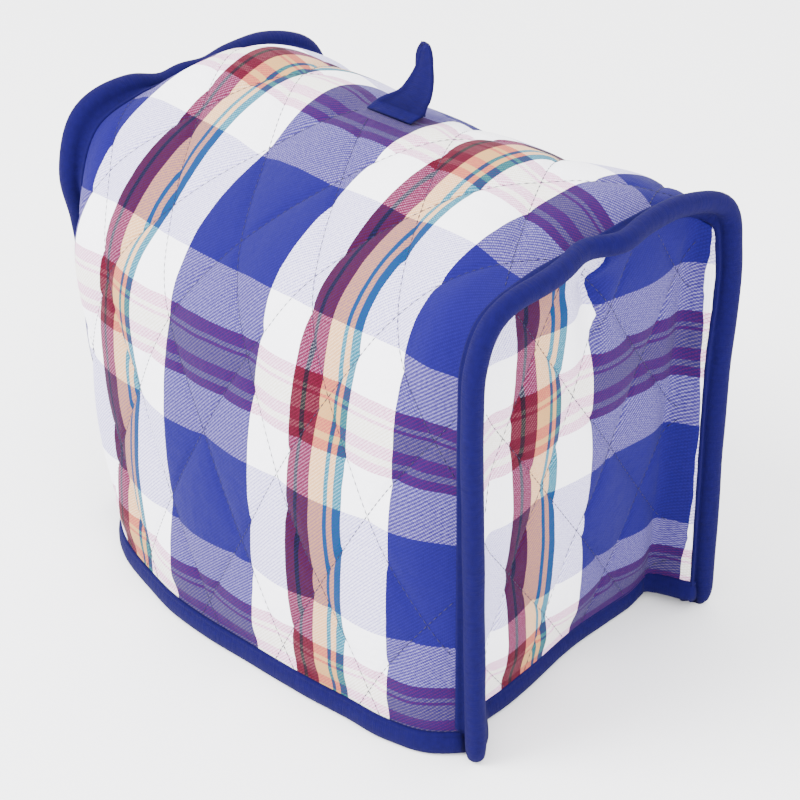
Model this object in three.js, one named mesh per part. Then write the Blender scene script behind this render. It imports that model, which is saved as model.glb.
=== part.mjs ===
import * as THREE from 'three';

// Quilted cover for a two-slice toaster: one wrap over the front, top and back, two end
// panels, a bound seam standing out round each end, a bound hem and a hanging loop.
// Millimetres. X runs along the cover, Y from its front (-Y) to its back, Z up from the
// surface it rests on.

// Cloth
const SHEET = 2.6; // quilted cloth where a stitch line pulls it flat
const PUFF_OUT = 3.2; // filling raised outside the stitch lines
const PUFF_IN = 1.4; // and inside them
// Quilting diamonds, point to point, and the place of one of their points
const WRAP_QUILT = { wide: 51, tall: 89.5, across: -7.8, along: 21.75 };
const END_QUILT = { wide: 45.6, tall: 71.8, across: 18.2, along: 35.8 };
const MESH_PER_DIAMOND = 4; // sides of a diamond are split in this many
const FLAT_EDGE = 16; // filling dies away this far from an edge
const PUFF_POWER = 0.6; // fullness of a diamond

// Wrap, in cloth measure: U across the cover, S from the front hem over to the back hem
const WRAP_LEFT = -141;
const WRAP_RIGHT = 134;
const WRAP_LENGTH = 574;
const WRAP_TO_SEAM = 4.4; // bare edge of the wrap stops this far from the seam line
const LEFT_FULLNESS = 1.2; // cloth used up for each millimetre there at the left
const CORNER_CUT = 4.4; // end panels are rounded off this much more at the top corners
const END_TO_SEAM = 6.7; // and that of an end panel, inside the wrap

// Bound seam and hem
const SEAM_THICK = 8.8;
// Ridge of the seam binding: how far out it stands and its half width there
const SEAM_RIDGE = [
  { out: 2.2, half: 3.6 },
  { out: 5.0, half: SEAM_THICK / 2 },
  { out: 8.8, half: 3.6 },
  { out: 10.6, half: 1.4 },
];
const SEAM_ROOT_GAP = 0.8; // root of the binding to the edge of a sheet
const END_SLACK = 0.6; // and this much more to that of an end panel
const SEAM_ROOT_DEEP = 1.7; // root of the binding fills the corner this deep
const SEAM_ROOT_TAPER = 0.9;
const SEAM_LIP = 1.4; // its lips reach this far over the sheets, from above the hem up
const SEAM_LIP_LEAST = 0.1; // below that
const SEAM_LIP_OFF = 1.0; // space under a lip
const SEAM_LIP_THICK = 0.9;
const SEAM_TURN = 0.16; // turn between two rings, in radians, that calls for one more between
const SEAM_PROBE = 6; // directions of the two sheets are taken over this much cloth
const HEM_HIGH = 11;
const HEM_THICK = 6.4;
const GAP = 0.4; // between neighbouring pieces
const HALVINGS = 30; // search steps for a place on a seam
const SQUARE_STEPS = 4; // and for the place on the wrap beside it

// Heights and depths where a section of the wrap is measured
const WALL_Z = 104;
const HIP_Z = 163;
const SHOULDER_Z = 187;
const OUTER_Y = 66;
const MIDDLE_Y = 42;
const INNER_Y = 18;

// One row per section. x, backX and backFoot: its place at the front, at the back and at the
// back hem; hem to shoulder: how far the front stands out; outer to crown: heights over the
// front half; the other back columns: the same for the back half.
const SECTIONS = [
  { u: -141, x: -137, backX: -137, backFoot: -137, hem: 67, wall: 69, hip: 72.5, shoulder: 75,
    outer: 209, middle: 216, inner: 216, crown: 216.5, backInner: 217, backMiddle: 216,
    backOuter: 208, backShoulder: 73, backHip: 73, backWall: 71, backHem: 70 },
  { u: -128, x: -126.5, backX: -126.5, backFoot: -126.5, hem: 76, wall: 84.5, hip: 85.5, shoulder: 79,
    outer: 208, middle: 219, inner: 224, crown: 225, backInner: 225, backMiddle: 219,
    backOuter: 208, backShoulder: 77, backHip: 80, backWall: 80, backHem: 80 },
  { u: -112, x: -111, backX: -111, backFoot: -111, hem: 91, wall: 95.5, hip: 93.5, shoulder: 82,
    outer: 207, middle: 221, inner: 231, crown: 234, backInner: 231, backMiddle: 221,
    backOuter: 207, backShoulder: 81, backHip: 87, backWall: 90, backHem: 91 },
  { u: -91, x: -91, backX: -91, backFoot: -91, hem: 101.5, wall: 99.5, hip: 96, shoulder: 82.5,
    outer: 204, middle: 220, inner: 233, crown: 237, backInner: 233, backMiddle: 221,
    backOuter: 205, backShoulder: 83, backHip: 92, backWall: 96, backHem: 97 },
  { u: -58, x: -58, backX: -58, backFoot: -58, hem: 109, wall: 104, hip: 99, shoulder: 82,
    outer: 202, middle: 219, inner: 231, crown: 235, backInner: 231, backMiddle: 218.5,
    backOuter: 203, backShoulder: 83, backHip: 94, backWall: 99, backHem: 100 },
  { u: -33, x: -33, backX: -33, backFoot: -33, hem: 112, wall: 106, hip: 98, shoulder: 82,
    outer: 201, middle: 216, inner: 229, crown: 233, backInner: 229, backMiddle: 216,
    backOuter: 201, backShoulder: 82, backHip: 93, backWall: 99, backHem: 102 },
  { u: 25, x: 25, backX: 25, backFoot: 25, hem: 109, wall: 104, hip: 93, shoulder: 82,
    outer: 202, middle: 217, inner: 228, crown: 231.5, backInner: 227.5, backMiddle: 214.5,
    backOuter: 200, backShoulder: 81, backHip: 90, backWall: 96, backHem: 100 },
  { u: 51, x: 51, backX: 51, backFoot: 51, hem: 106.5, wall: 104, hip: 93, shoulder: 82.5,
    outer: 203, middle: 218, inner: 228, crown: 231, backInner: 227.5, backMiddle: 215,
    backOuter: 201, backShoulder: 81, backHip: 89, backWall: 95, backHem: 98 },
  { u: 82, x: 82, backX: 82, backFoot: 82, hem: 102, wall: 99, hip: 89, shoulder: 81,
    outer: 204, middle: 218, inner: 226, crown: 228.5, backInner: 227, backMiddle: 217.5,
    backOuter: 204, backShoulder: 80, backHip: 87, backWall: 92, backHem: 94 },
  { u: 105, x: 105, backX: 105, backFoot: 105, hem: 99, wall: 94, hip: 86, shoulder: 79.5,
    outer: 204, middle: 216, inner: 221, crown: 223, backInner: 224.5, backMiddle: 219.5,
    backOuter: 207, backShoulder: 77, backHip: 82, backWall: 85, backHem: 88 },
  { u: 122, x: 123, backX: 121, backFoot: 119.5, hem: 92, wall: 84, hip: 80, shoulder: 77,
    outer: 203, middle: 212, inner: 215, crown: 217, backInner: 219, backMiddle: 217,
    backOuter: 206, backShoulder: 73, backHip: 75, backWall: 75, backHem: 77 },
  { u: 134, x: 136.5, backX: 131, backFoot: 128, hem: 77, wall: 76.5, hip: 76, shoulder: 74,
    outer: 202, middle: 210, inner: 211, crown: 211, backInner: 212, backMiddle: 212,
    backOuter: 204, backShoulder: 69, backHip: 69.5, backWall: 68, backHem: 70 },
];

// How far each end panel is drawn in from its seams, by height
const RIGHT_DISH = [
  { z: 0, inset: 20 },
  { z: 40, inset: 16 },
  { z: 110, inset: 12 },
  { z: 170, inset: 8 },
  { z: 212, inset: 3 },
];
const LEFT_DISH = [
  { z: 0, inset: 9 },
  { z: 60, inset: 10 },
  { z: 130, inset: 8 },
  { z: 180, inset: 6 },
  { z: 216, inset: 2 },
];
const DISH_START = 3; // the dish starts this far in from the seam
const DISH_TURN = 7; // width of the strip beside a seam that turns into the dish
const DISH_RUN = 15; // and is full after this much more
const RIGHT_BACK_RUN = 10; // or this much along the back seam of the right end
const DISH_FRONT_SHARE = 0.6; // at its front it is only this deep
const DISH_FRONT_Y = -50;
const DISH_FULL_Y = 15;

const CREASE_START = 6; // creases of an end panel start this far below the top of the seam
const CREASE_RUN = 12;

// Soft creases of the end panels: y and z of the middle, half width, half height, depth
const RIGHT_CREASES = [
  { y: -3, z: 196, wide: 9, tall: 34, deep: 6.5 },
  { y: 9, z: 92, wide: 16, tall: 46, deep: -3 },
  { y: -38, z: 60, wide: 12, tall: 40, deep: 2.5 },
];
const LEFT_CREASES = [
  { y: 14, z: 186, wide: 11, tall: 30, deep: 5 },
  { y: -20, z: 80, wide: 18, tall: 50, deep: -3 },
];

// Sway of the bound seams: place along the seam, reach, and how far out of line there
const RIGHT_SWAY = [
  { s: 246, reach: 16, side: -1.6, rise: -1.2 },
  { s: 272, reach: 12, side: 2.4, rise: -2.0 },
  { s: 290, reach: 12, side: -2.2, rise: 1.6 },
  { s: 385, reach: 40, side: 0, rise: 2.2 },
  { s: 470, reach: 40, side: 1.6, rise: 0 },
  { s: 574, reach: 60, side: 3, rise: 0 },
];
const LEFT_SWAY = [
  { s: 120, reach: 45, side: -1.5, rise: 0 },
  { s: 232, reach: 18, side: 1.4, rise: 0.6 },
  { s: 264, reach: 12, side: -1.4, rise: -3.0 },
  { s: 290, reach: 12, side: 0.8, rise: -3.1 },
  { s: 334, reach: 18, side: -1.0, rise: 2.6 },
];

// Hanging loop: a strip folded in half, drawn to a point at the fold. Heights are over
// the crown; left and right are its edges there.
const LOOP_STRIP = 1.8;
const LOOP_SPACE = 2.4;
const LOOP_FOOT = 11; // sewn down in front
const LOOP_HEEL = 4; // and behind
const LOOP_Y = 1;
const LOOP_LIFT = 2.2;
const LOOP_TIP = 33;
const LOOP_STEPS = 5;
const CROWN_FALL = 0.13; // slope of the crown under the feet
const LOOP_OUTLINE = [
  { z: 0, left: -7, right: 23 },
  { z: 5, left: 1, right: 24.5 },
  { z: 10, left: 9, right: 27 },
  { z: 17, left: 14, right: 28.5 },
  { z: 25, left: 18.5, right: 28.5 },
  { z: 33, left: 20.5, right: 26.5 },
];

const BLUE = 0x30348f;
const PLAID = 0xb9bde2;

function clothMaterial(color) {
  return new THREE.MeshStandardMaterial({ color, roughness: 0.92, metalness: 0 });
}

function clamp(value, low, high) {
  return Math.min(Math.max(value, low), high);
}

// 0 below low, 1 above high, eased between
function ease(value, low, high) {
  const t = clamp((value - low) / (high - low), 0, 1);
  return t * t * (3 - 2 * t);
}

// Smooth curve through one column of a table
function column(table, along, key, at) {
  const last = table.length - 1;
  const here = clamp(at, table[0][along], table[last][along]);
  let i = 0;
  while (i < last - 1 && here > table[i + 1][along]) i += 1;
  const slope = (k) => (table[k + 1][key] - table[k][key]) / (table[k + 1][along] - table[k][along]);
  const leanAt = (k) => {
    if (k === 0) return slope(0);
    if (k === last) return slope(last - 1);
    return (slope(k - 1) + slope(k)) / 2;
  };
  const span = table[i + 1][along] - table[i][along];
  const t = (here - table[i][along]) / span;
  const fromStart = (1 + 2 * t) * (1 - t) ** 2 * table[i][key] + t * (1 - t) ** 2 * span * leanAt(i);
  const fromEnd = t * t * (3 - 2 * t) * table[i + 1][key] - t * t * (1 - t) * span * leanAt(i + 1);
  return fromStart + fromEnd;
}

// Section of the wrap at U, as a curve from the front hem to the back hem
const sectionCache = new Map();
function section(u) {
  const name = u.toFixed(2);
  if (!sectionCache.has(name)) sectionCache.set(name, makeSection(u));
  return sectionCache.get(name);
}

function makeSection(u) {
  const at = (key) => column(SECTIONS, 'u', key, u);
  const x = at('x');
  const backX = at('backX');
  const stations = [
    [x, -at('hem'), 0],
    [x, -at('wall'), WALL_Z],
    [x, -at('hip'), HIP_Z],
    [x, -at('shoulder'), SHOULDER_Z],
    [x, -OUTER_Y, at('outer')],
    [x, -MIDDLE_Y, at('middle')],
    [(2 * x + backX) / 3, -INNER_Y, at('inner')],
    [(x + backX) / 2, 0, at('crown')],
    [(x + 2 * backX) / 3, INNER_Y, at('backInner')],
    [backX, MIDDLE_Y, at('backMiddle')],
    [backX, OUTER_Y, at('backOuter')],
    [backX, at('backShoulder'), SHOULDER_Z],
    [backX, at('backHip'), HIP_Z],
    [backX, at('backWall'), WALL_Z],
    [at('backFoot'), at('backHem'), 0],
  ];
  const curve = new THREE.CatmullRomCurve3(
    stations.map((station) => new THREE.Vector3(...station)), false, 'centripetal');
  curve.arcLengthDivisions = 400;
  return curve;
}

function wrapBase(u, s) {
  return section(u).getPointAt(clamp(s / WRAP_LENGTH, 0, 1));
}

// Outward direction of a surface given as a function of two measures
function outward(base, a, b) {
  const step = 1.5;
  const alongA = base(a + step, b).sub(base(a - step, b));
  const alongB = base(a, b + step).sub(base(a, b - step));
  return alongA.cross(alongB).normalize();
}

function wrapOutward(u, s) {
  const inU = clamp(u, WRAP_LEFT + 1.6, WRAP_RIGHT - 1.6);
  const inS = clamp(s, 1.6, WRAP_LENGTH - 1.6);
  return outward(wrapBase, inU, inS);
}

// Fullness of the quilting at a place, 0 on a stitch line and 1 in the middle of a diamond
function quiltFullness(quilt, across, along) {
  const right = (across - quilt.across) / quilt.wide;
  const up = (along - quilt.along) / quilt.tall;
  const a = right + up;
  const b = right - up;
  const full = Math.abs(Math.sin(Math.PI * a) * Math.sin(Math.PI * b));
  return full ** PUFF_POWER;
}

function edgeFade(distance) {
  return ease(distance, 0, FLAT_EDGE);
}

// Places across one row of the quilting mesh, staggered on every other row
function rowPlaces(quilt, low, high, odd) {
  const step = quilt.wide / MESH_PER_DIAMOND;
  const shift = quilt.across + (odd ? step / 2 : 0);
  const least = step * 0.3;
  const places = [low];
  for (let k = Math.ceil((low + least - shift) / step); k * step + shift < high - least; k += 1) {
    places.push(k * step + shift);
  }
  places.push(high);
  return places;
}

// Triangles between two neighbouring rows of points
function zip(lower, upper, places, faces) {
  let i = 0;
  let j = 0;
  while (i < lower.length - 1 || j < upper.length - 1) {
    const canLower = i < lower.length - 1;
    const canUpper = j < upper.length - 1;
    const nextLower = canLower ? places[lower[i + 1]] : Infinity;
    const nextUpper = canUpper ? places[upper[j + 1]] : Infinity;
    if (canLower && (!canUpper || nextLower <= nextUpper)) {
      faces.push([lower[i], lower[i + 1], upper[j]]);
      i += 1;
    } else {
      faces.push([lower[i], upper[j + 1], upper[j]]);
      j += 1;
    }
  }
}

// Closed sheet from rows of { place, outer, inner }
function sheetGeometry(rows) {
  const points = [];
  const places = [];
  const rowIndex = rows.map((row) => row.map((cell) => {
    points.push(cell.outer);
    places.push(cell.place);
    return points.length - 1;
  }));
  const count = points.length;
  rows.forEach((row) => row.forEach((cell) => points.push(cell.inner)));
  const skin = [];
  for (let r = 0; r < rows.length - 1; r += 1) zip(rowIndex[r], rowIndex[r + 1], places, skin);
  const faces = [];
  skin.forEach(([a, b, c]) => {
    faces.push(a, b, c);
    faces.push(a + count, c + count, b + count);
  });
  const wall = (a, b) => faces.push(b, a, a + count, b, a + count, b + count);
  const first = rowIndex[0];
  const last = rowIndex[rows.length - 1];
  for (let k = 0; k < first.length - 1; k += 1) wall(first[k], first[k + 1]);
  for (let k = last.length - 1; k > 0; k -= 1) wall(last[k], last[k - 1]);
  for (let r = 0; r < rows.length - 1; r += 1) {
    const here = rowIndex[r];
    const next = rowIndex[r + 1];
    wall(here[here.length - 1], next[next.length - 1]);
    wall(next[0], here[0]);
  }
  return geometryFrom(points, faces);
}

function geometryFrom(points, faces) {
  const flat = new Float32Array(points.length * 3);
  points.forEach((point, k) => point.toArray(flat, k * 3));
  const geometry = new THREE.BufferGeometry();
  geometry.setAttribute('position', new THREE.BufferAttribute(flat, 3));
  geometry.setIndex(faces);
  geometry.computeVertexNormals();
  return geometry;
}

// Outer and inner face of a sheet at one place
function sheetCell(place, point, out, full) {
  return {
    place,
    outer: point.clone().addScaledVector(out, PUFF_OUT * full),
    inner: point.clone().addScaledVector(out, -SHEET - PUFF_IN * full),
  };
}

// Heights of the mesh rows between two limits, the limits included
function rowHeights(quilt, low, high) {
  const step = quilt.tall / MESH_PER_DIAMOND / 2;
  const least = step * 0.35;
  const heights = [{ at: low, odd: false }];
  const first = Math.ceil((low + least - quilt.along) / step);
  for (let k = first; quilt.along + k * step < high - least; k += 1) {
    heights.push({ at: quilt.along + k * step, odd: k % 2 !== 0 });
  }
  const tail = heights[heights.length - 1];
  heights.push({ at: high, odd: !tail.odd });
  heights[0].odd = !heights[1].odd;
  return heights;
}

// How far a place on the wrap is from where the feet of the hanging loop are sewn down
function loopReach(u, s) {
  const foot = LOOP_OUTLINE[0];
  const besideLoop = Math.max(foot.left - u, u - foot.right, 0);
  const pastFoot = Math.max(Math.abs(s - WRAP_LENGTH / 2 - LOOP_Y) - LOOP_FOOT, 0);
  return Math.hypot(besideLoop, pastFoot);
}

// Rows of the wrap, from its front hem binding over to the back one
function wrapRows() {
  return rowHeights(WRAP_QUILT, HEM_HIGH + GAP, WRAP_LENGTH - HEM_HIGH - GAP);
}

function wrapPanel() {
  const low = HEM_HIGH + GAP;
  const high = WRAP_LENGTH - low;
  const left = leftEnd.wrapEdge;
  const right = rightEnd.wrapEdge;
  const cellAt = (u, s) => {
    const edge = Math.min(u - left, right - u, s - low, high - s);
    const full = quiltFullness(WRAP_QUILT, u, s) * edgeFade(edge) * edgeFade(loopReach(u, s));
    return sheetCell(u, wrapBase(u, s), wrapOutward(u, s), full);
  };
  const rows = wrapRows().map(({ at: s, odd }) => rowPlaces(WRAP_QUILT, left, right, odd)
    .map((u) => cellAt(u, s)));
  rows[0].forEach((cell) => levelCell(cell, low));
  rows[rows.length - 1].forEach((cell) => levelCell(cell, low));
  return sheetGeometry(rows);
}

// Cuts the lower edge of a sheet off level
function levelCell(cell, z) {
  cell.outer.z = z;
  cell.inner.z = z;
}

// Place on the seam of an end at a height, front (-1) or back (1), and at a depth
function seamAtHeight(u, z, side) {
  const curve = section(u);
  let low = side < 0 ? 0 : 1;
  let high = 0.5;
  for (let k = 0; k < HALVINGS; k += 1) {
    const middle = (low + high) / 2;
    if (curve.getPointAt(middle).z < z) low = middle;
    else high = middle;
  }
  return curve.getPointAt(low);
}

function seamHeightAt(u, y) {
  const curve = section(u);
  let low = 0.25;
  let high = 0.75;
  for (let k = 0; k < HALVINGS; k += 1) {
    const middle = (low + high) / 2;
    if (curve.getPointAt(middle).y < y) low = middle;
    else high = middle;
  }
  return curve.getPointAt(low).z;
}

function seamDepthAt(u, z, side) {
  return seamAtHeight(u, z, side).y;
}

function endBase(end, y, z) {
  const wallZ = Math.min(z, SHOULDER_Z);
  const front = seamAtHeight(end.u, wallZ, -1);
  const back = seamAtHeight(end.u, wallZ, 1);
  const share = (y - front.y) / (back.y - front.y);
  const x = front.x + (back.x - front.x) * clamp(share, 0, 1);
  const held = Math.min(
    ease(y - front.y, DISH_START, DISH_START + DISH_RUN),
    ease(back.y - y, DISH_START, DISH_START + end.backRun));
  const deeper = DISH_FRONT_SHARE + (1 - DISH_FRONT_SHARE) * ease(y, DISH_FRONT_Y, DISH_FULL_Y);
  const crease = end.creases.reduce((sum, fold) => {
    const far = ((y - fold.y) / fold.wide) ** 2 + ((z - fold.z) / fold.tall) ** 2;
    return sum + fold.deep * Math.exp(-far);
  }, 0) * ease(end.top - z, CREASE_START, CREASE_START + CREASE_RUN);
  const inset = column(end.dish, 'z', 'inset', z) * deeper + crease;
  return new THREE.Vector3(x - end.sign * inset * held, y, z);
}

function endPanel(end) {
  const low = HEM_HIGH + GAP;
  const top = end.top - END_TO_SEAM;
  const edgeOf = (z, side) => {
    const here = seamDepthAt(end.u, z, side);
    const above = seamDepthAt(end.u, z + CORNER_CUT, side);
    return side * (Math.min(side * here, side * above) - END_TO_SEAM);
  };
  const rows = rowHeights(END_QUILT, low, top).map(({ at: z, odd }, k, all) => {
    const isTop = k === all.length - 1;
    const rim = isTop ? z - END_TO_SEAM / 2 : z;
    const places = endPlaces(edgeOf(rim, -1), edgeOf(rim, 1), odd);
    return places.map((y) => {
      const height = isTop ? seamHeightAt(end.u, y) - END_TO_SEAM : z;
      return endCell(end, y, height, low);
    });
  });
  rows[0].forEach((cell) => levelCell(cell, low));
  if (end.sign < 0) rows.reverse();
  return sheetGeometry(rows);
}

// As a row of the wrap, with one place more beside each seam for the turn of the dish
function endPlaces(low, high, odd) {
  return [low, ...rowPlaces(END_QUILT, low + DISH_TURN, high - DISH_TURN, odd), high];
}

function endCell(end, y, z, low) {
  const base = (a, b) => endBase(end, a, b);
  const out = outward(base, y, z).multiplyScalar(end.sign);
  const inside = Math.min(
    y - seamDepthAt(end.u, z, -1),
    seamDepthAt(end.u, z, 1) - y,
    seamHeightAt(end.u, y) - z) - END_TO_SEAM;
  const full = quiltFullness(END_QUILT, y, z) * edgeFade(Math.min(inside, z - low));
  return sheetCell(y, endBase(end, y, z), out, full);
}

// Solid swept along rings of points, closed at both ends
function ringGeometry(rings) {
  const sides = rings[0].length;
  const points = rings.flat();
  const faces = [];
  for (let r = 0; r < rings.length - 1; r += 1) {
    for (let k = 0; k < sides; k += 1) {
      const a = r * sides + k;
      const b = r * sides + ((k + 1) % sides);
      faces.push(a, b, b + sides, a, b + sides, a + sides);
    }
  }
  const far = (rings.length - 1) * sides;
  capFaces(rings[0]).forEach(([a, b, c]) => faces.push(a, c, b));
  capFaces(rings[rings.length - 1]).forEach(([a, b, c]) => faces.push(far + a, far + b, far + c));
  return geometryFrom(points, faces);
}

// Triangles of a flat ring, in the turn of the ring
function capFaces(ring) {
  const middle = ring.reduce((sum, point) => sum.add(point), new THREE.Vector3()).divideScalar(ring.length);
  const normal = new THREE.Vector3();
  ring.forEach((point, k) => {
    const next = ring[(k + 1) % ring.length];
    normal.add(point.clone().sub(middle).cross(next.clone().sub(middle)));
  });
  const flat = new THREE.Quaternion().setFromUnitVectors(normal.normalize(), new THREE.Vector3(0, 0, 1));
  const outline = ring.map((point) => {
    const { x, y } = point.clone().sub(middle).applyQuaternion(flat);
    return new THREE.Vector2(x, y);
  });
  return THREE.ShapeUtils.triangulateShape(outline, []);
}

function swayAt(table, key, s) {
  return table.reduce((sum, fold) => sum + fold[key] * Math.exp(-(((s - fold.s) / fold.reach) ** 2)), 0);
}

// From a place on the seam to the wrap at U, square to the seam
function acrossSeam(u, s, point, along) {
  let at = s;
  for (let k = 0; k < SQUARE_STEPS; k += 1) at -= wrapBase(u, at).sub(point).dot(along);
  return wrapBase(u, at).sub(point);
}

// Directions at one place on a seam: along it, out over the ridge, across the ridge, and
// into and off each of the two sheets
function seamFrame(end, t) {
  const curve = section(end.u);
  const point = curve.getPointAt(t);
  const along = curve.getTangentAt(t);
  const stand = new THREE.Vector3(end.sign, -along.z, along.y).normalize();
  const side = new THREE.Vector3().crossVectors(along, stand).multiplyScalar(-end.sign).normalize();
  const inward = new THREE.Vector3(0, along.z, -along.y).normalize();
  const intoWrap = acrossSeam(end.u - end.sign * SEAM_PROBE, t * WRAP_LENGTH, point, along).normalize();
  const onWrap = (reach) => point.clone().addScaledVector(intoWrap, reach);
  const onEnd = (reach) => {
    const place = point.clone().addScaledVector(inward, reach);
    return endBase(end, place.y, place.z);
  };
  const intoEnd = onEnd(SEAM_PROBE).sub(point).normalize();
  const toWrap = acrossSeam(end.wrapEdge, t * WRAP_LENGTH, point, along).dot(intoWrap);
  const offWrap = new THREE.Vector3().crossVectors(intoWrap, along).multiplyScalar(-end.sign);
  const offEnd = new THREE.Vector3().crossVectors(intoEnd, along).multiplyScalar(end.sign);
  return { point, stand, side, onWrap, offWrap, toWrap, onEnd, offEnd };
}

// Places of the rings: at the rows of the wrap, and between them where the seam turns
function seamStops(end) {
  const rows = [0, ...wrapRows().map((row) => row.at), WRAP_LENGTH];
  const tangent = (s) => section(end.u).getTangentAt(s / WRAP_LENGTH);
  const stops = [0];
  rows.slice(1).forEach((s, k) => {
    const before = rows[k];
    if (tangent(before).angleTo(tangent(s)) > SEAM_TURN) stops.push((before + s) / 2);
    stops.push(s);
  });
  return stops;
}

// Half of the root of a seam binding, beside one sheet, from inside the cover outwards
function seamRoot(onSheet, off, toEdge, lip) {
  const root = toEdge - SEAM_ROOT_GAP;
  const spots = [
    { reach: root - SEAM_ROOT_TAPER, off: -SEAM_ROOT_DEEP },
    { reach: root, off: SEAM_ROOT_TAPER - SEAM_ROOT_DEEP },
    { reach: root, off: SEAM_LIP_OFF },
    { reach: root + lip, off: SEAM_LIP_OFF + SEAM_LIP_LEAST },
    { reach: root + lip, off: SEAM_LIP_OFF + SEAM_LIP_THICK },
  ];
  return spots.map((spot) => onSheet(spot.reach).addScaledVector(off, spot.off));
}

// Bound seam round one end: a plump ridge standing out between wrap and end panel
function seamBinding(end) {
  const stops = seamStops(end);
  const last = stops.length - 1;
  const rings = stops.map((s, k) => {
    const frame = seamFrame(end, s / WRAP_LENGTH);
    const { point, stand, side } = frame;
    const lip = k > 1 && k < last - 1 ? SEAM_LIP : SEAM_LIP_LEAST;
    const ridge = (sign) => SEAM_RIDGE.map(({ out, half }) => point.clone()
      .addScaledVector(stand, out + swayAt(end.sway, 'rise', s))
      .addScaledVector(side, sign * half + swayAt(end.sway, 'side', s)));
    const toEnd = END_TO_SEAM - END_SLACK;
    const wrapHalf = [...seamRoot(frame.onWrap, frame.offWrap, frame.toWrap, lip), ...ridge(1)];
    const endHalf = [...seamRoot(frame.onEnd, frame.offEnd, toEnd, lip), ...ridge(-1)];
    const ring = end.sign > 0
      ? [...wrapHalf, ...endHalf.reverse()]
      : [...endHalf, ...wrapHalf.reverse()];
    if (k === 0 || k === last) ring.forEach((place) => place.setZ(0));
    return ring;
  });
  return ringGeometry(rings);
}

// Hem binding as a flat-bottomed strip under the edge of a sheet
function hemGeometry(spots) {
  const half = HEM_THICK / 2;
  const round = 1.5;
  const outline = [
    [-half, round],
    [-half, HEM_HIGH - round],
    [-half + round, HEM_HIGH],
    [half - round, HEM_HIGH],
    [half, HEM_HIGH - round],
    [half, round],
    [half - round, 0],
    [-half + round, 0],
  ];
  return ringGeometry(spots.map(({ point, out }) => outline.map(([v, z]) => {
    const place = point.clone().addScaledVector(out, v - SHEET / 2);
    place.z = z;
    return place;
  })));
}

function level(vector) {
  return new THREE.Vector3(vector.x, vector.y, 0).normalize();
}

function wrapHem(back) {
  const count = 30;
  const s = back ? WRAP_LENGTH : 0;
  const spots = [];
  for (let k = 0; k <= count; k += 1) {
    const t = back ? 1 - k / count : k / count;
    const u = leftEnd.wrapEdge + GAP + t * (rightEnd.wrapEdge - leftEnd.wrapEdge - 2 * GAP);
    spots.push({ point: wrapBase(u, s), out: level(wrapOutward(u, s)) });
  }
  return hemGeometry(spots);
}

function endHem(end) {
  const count = 20;
  const front = seamDepthAt(end.u, 0, -1) + END_TO_SEAM;
  const back = seamDepthAt(end.u, 0, 1) - END_TO_SEAM;
  const base = (a, b) => endBase(end, a, b);
  const spots = [];
  for (let k = 0; k <= count; k += 1) {
    const t = end.sign > 0 ? k / count : 1 - k / count;
    const y = front + t * (back - front);
    const out = outward(base, y, 2).multiplyScalar(end.sign);
    spots.push({ point: endBase(end, y, 0), out: level(out) });
  }
  return hemGeometry(spots);
}

// Hanging loop: front foot, up, over the fold, down, back foot, as one bent strip
function hangingLoop() {
  const middle = (LOOP_OUTLINE[0].left + LOOP_OUTLINE[0].right) / 2;
  const seat = section(middle).getPointAt(0.5).z + LOOP_LIFT;
  const half = (LOOP_SPACE + LOOP_STRIP) / 2;
  const climb = [{ y: half, z: 2, wide: 2 }];
  for (let k = 1; k <= LOOP_STEPS; k += 1) {
    const t = k / LOOP_STEPS;
    const z = 2 + t * (LOOP_TIP - 4);
    climb.push({ y: half - t * 0.5, z, wide: z });
  }
  const foot = (length) => [
    { y: half + length, z: -length * CROWN_FALL, wide: 0 },
    { y: half + 2, z: -2 * CROWN_FALL, wide: 0 },
  ];
  const front = [...foot(LOOP_FOOT), ...climb].map((spot) => ({ ...spot, y: -spot.y }));
  const behind = [...foot(LOOP_HEEL), ...climb].reverse();
  const path = [...front, { y: 0, z: LOOP_TIP, wide: LOOP_TIP }, ...behind];
  const rings = path.map((spot, k) => {
    const before = path[Math.max(k - 1, 0)];
    const after = path[Math.min(k + 1, path.length - 1)];
    const along = new THREE.Vector3(0, after.y - before.y, after.z - before.z).normalize();
    const across = new THREE.Vector3(0, -along.z, along.y).multiplyScalar(LOOP_STRIP / 2);
    const left = column(LOOP_OUTLINE, 'z', 'left', spot.wide);
    const right = column(LOOP_OUTLINE, 'z', 'right', spot.wide);
    const at = (x, sign) => new THREE.Vector3(x, LOOP_Y + spot.y, seat + spot.z)
      .addScaledVector(across, sign);
    return [at(left, -1), at(left, 1), at(right, 1), at(right, -1)];
  });
  return ringGeometry(rings);
}

function named(name, geometry, color) {
  const mesh = new THREE.Mesh(geometry, clothMaterial(color));
  mesh.name = name;
  return mesh;
}

const rightEnd = {
  u: WRAP_RIGHT,
  top: seamHeightAt(WRAP_RIGHT, 0),
  wrapEdge: WRAP_RIGHT - WRAP_TO_SEAM,
  sign: 1,
  dish: RIGHT_DISH,
  backRun: RIGHT_BACK_RUN,
  creases: RIGHT_CREASES,
  sway: RIGHT_SWAY,
};
const leftEnd = {
  u: WRAP_LEFT,
  top: seamHeightAt(WRAP_LEFT, 0),
  wrapEdge: WRAP_LEFT + WRAP_TO_SEAM * LEFT_FULLNESS,
  sign: -1,
  dish: LEFT_DISH,
  backRun: DISH_RUN,
  creases: LEFT_CREASES,
  sway: LEFT_SWAY,
};

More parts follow.
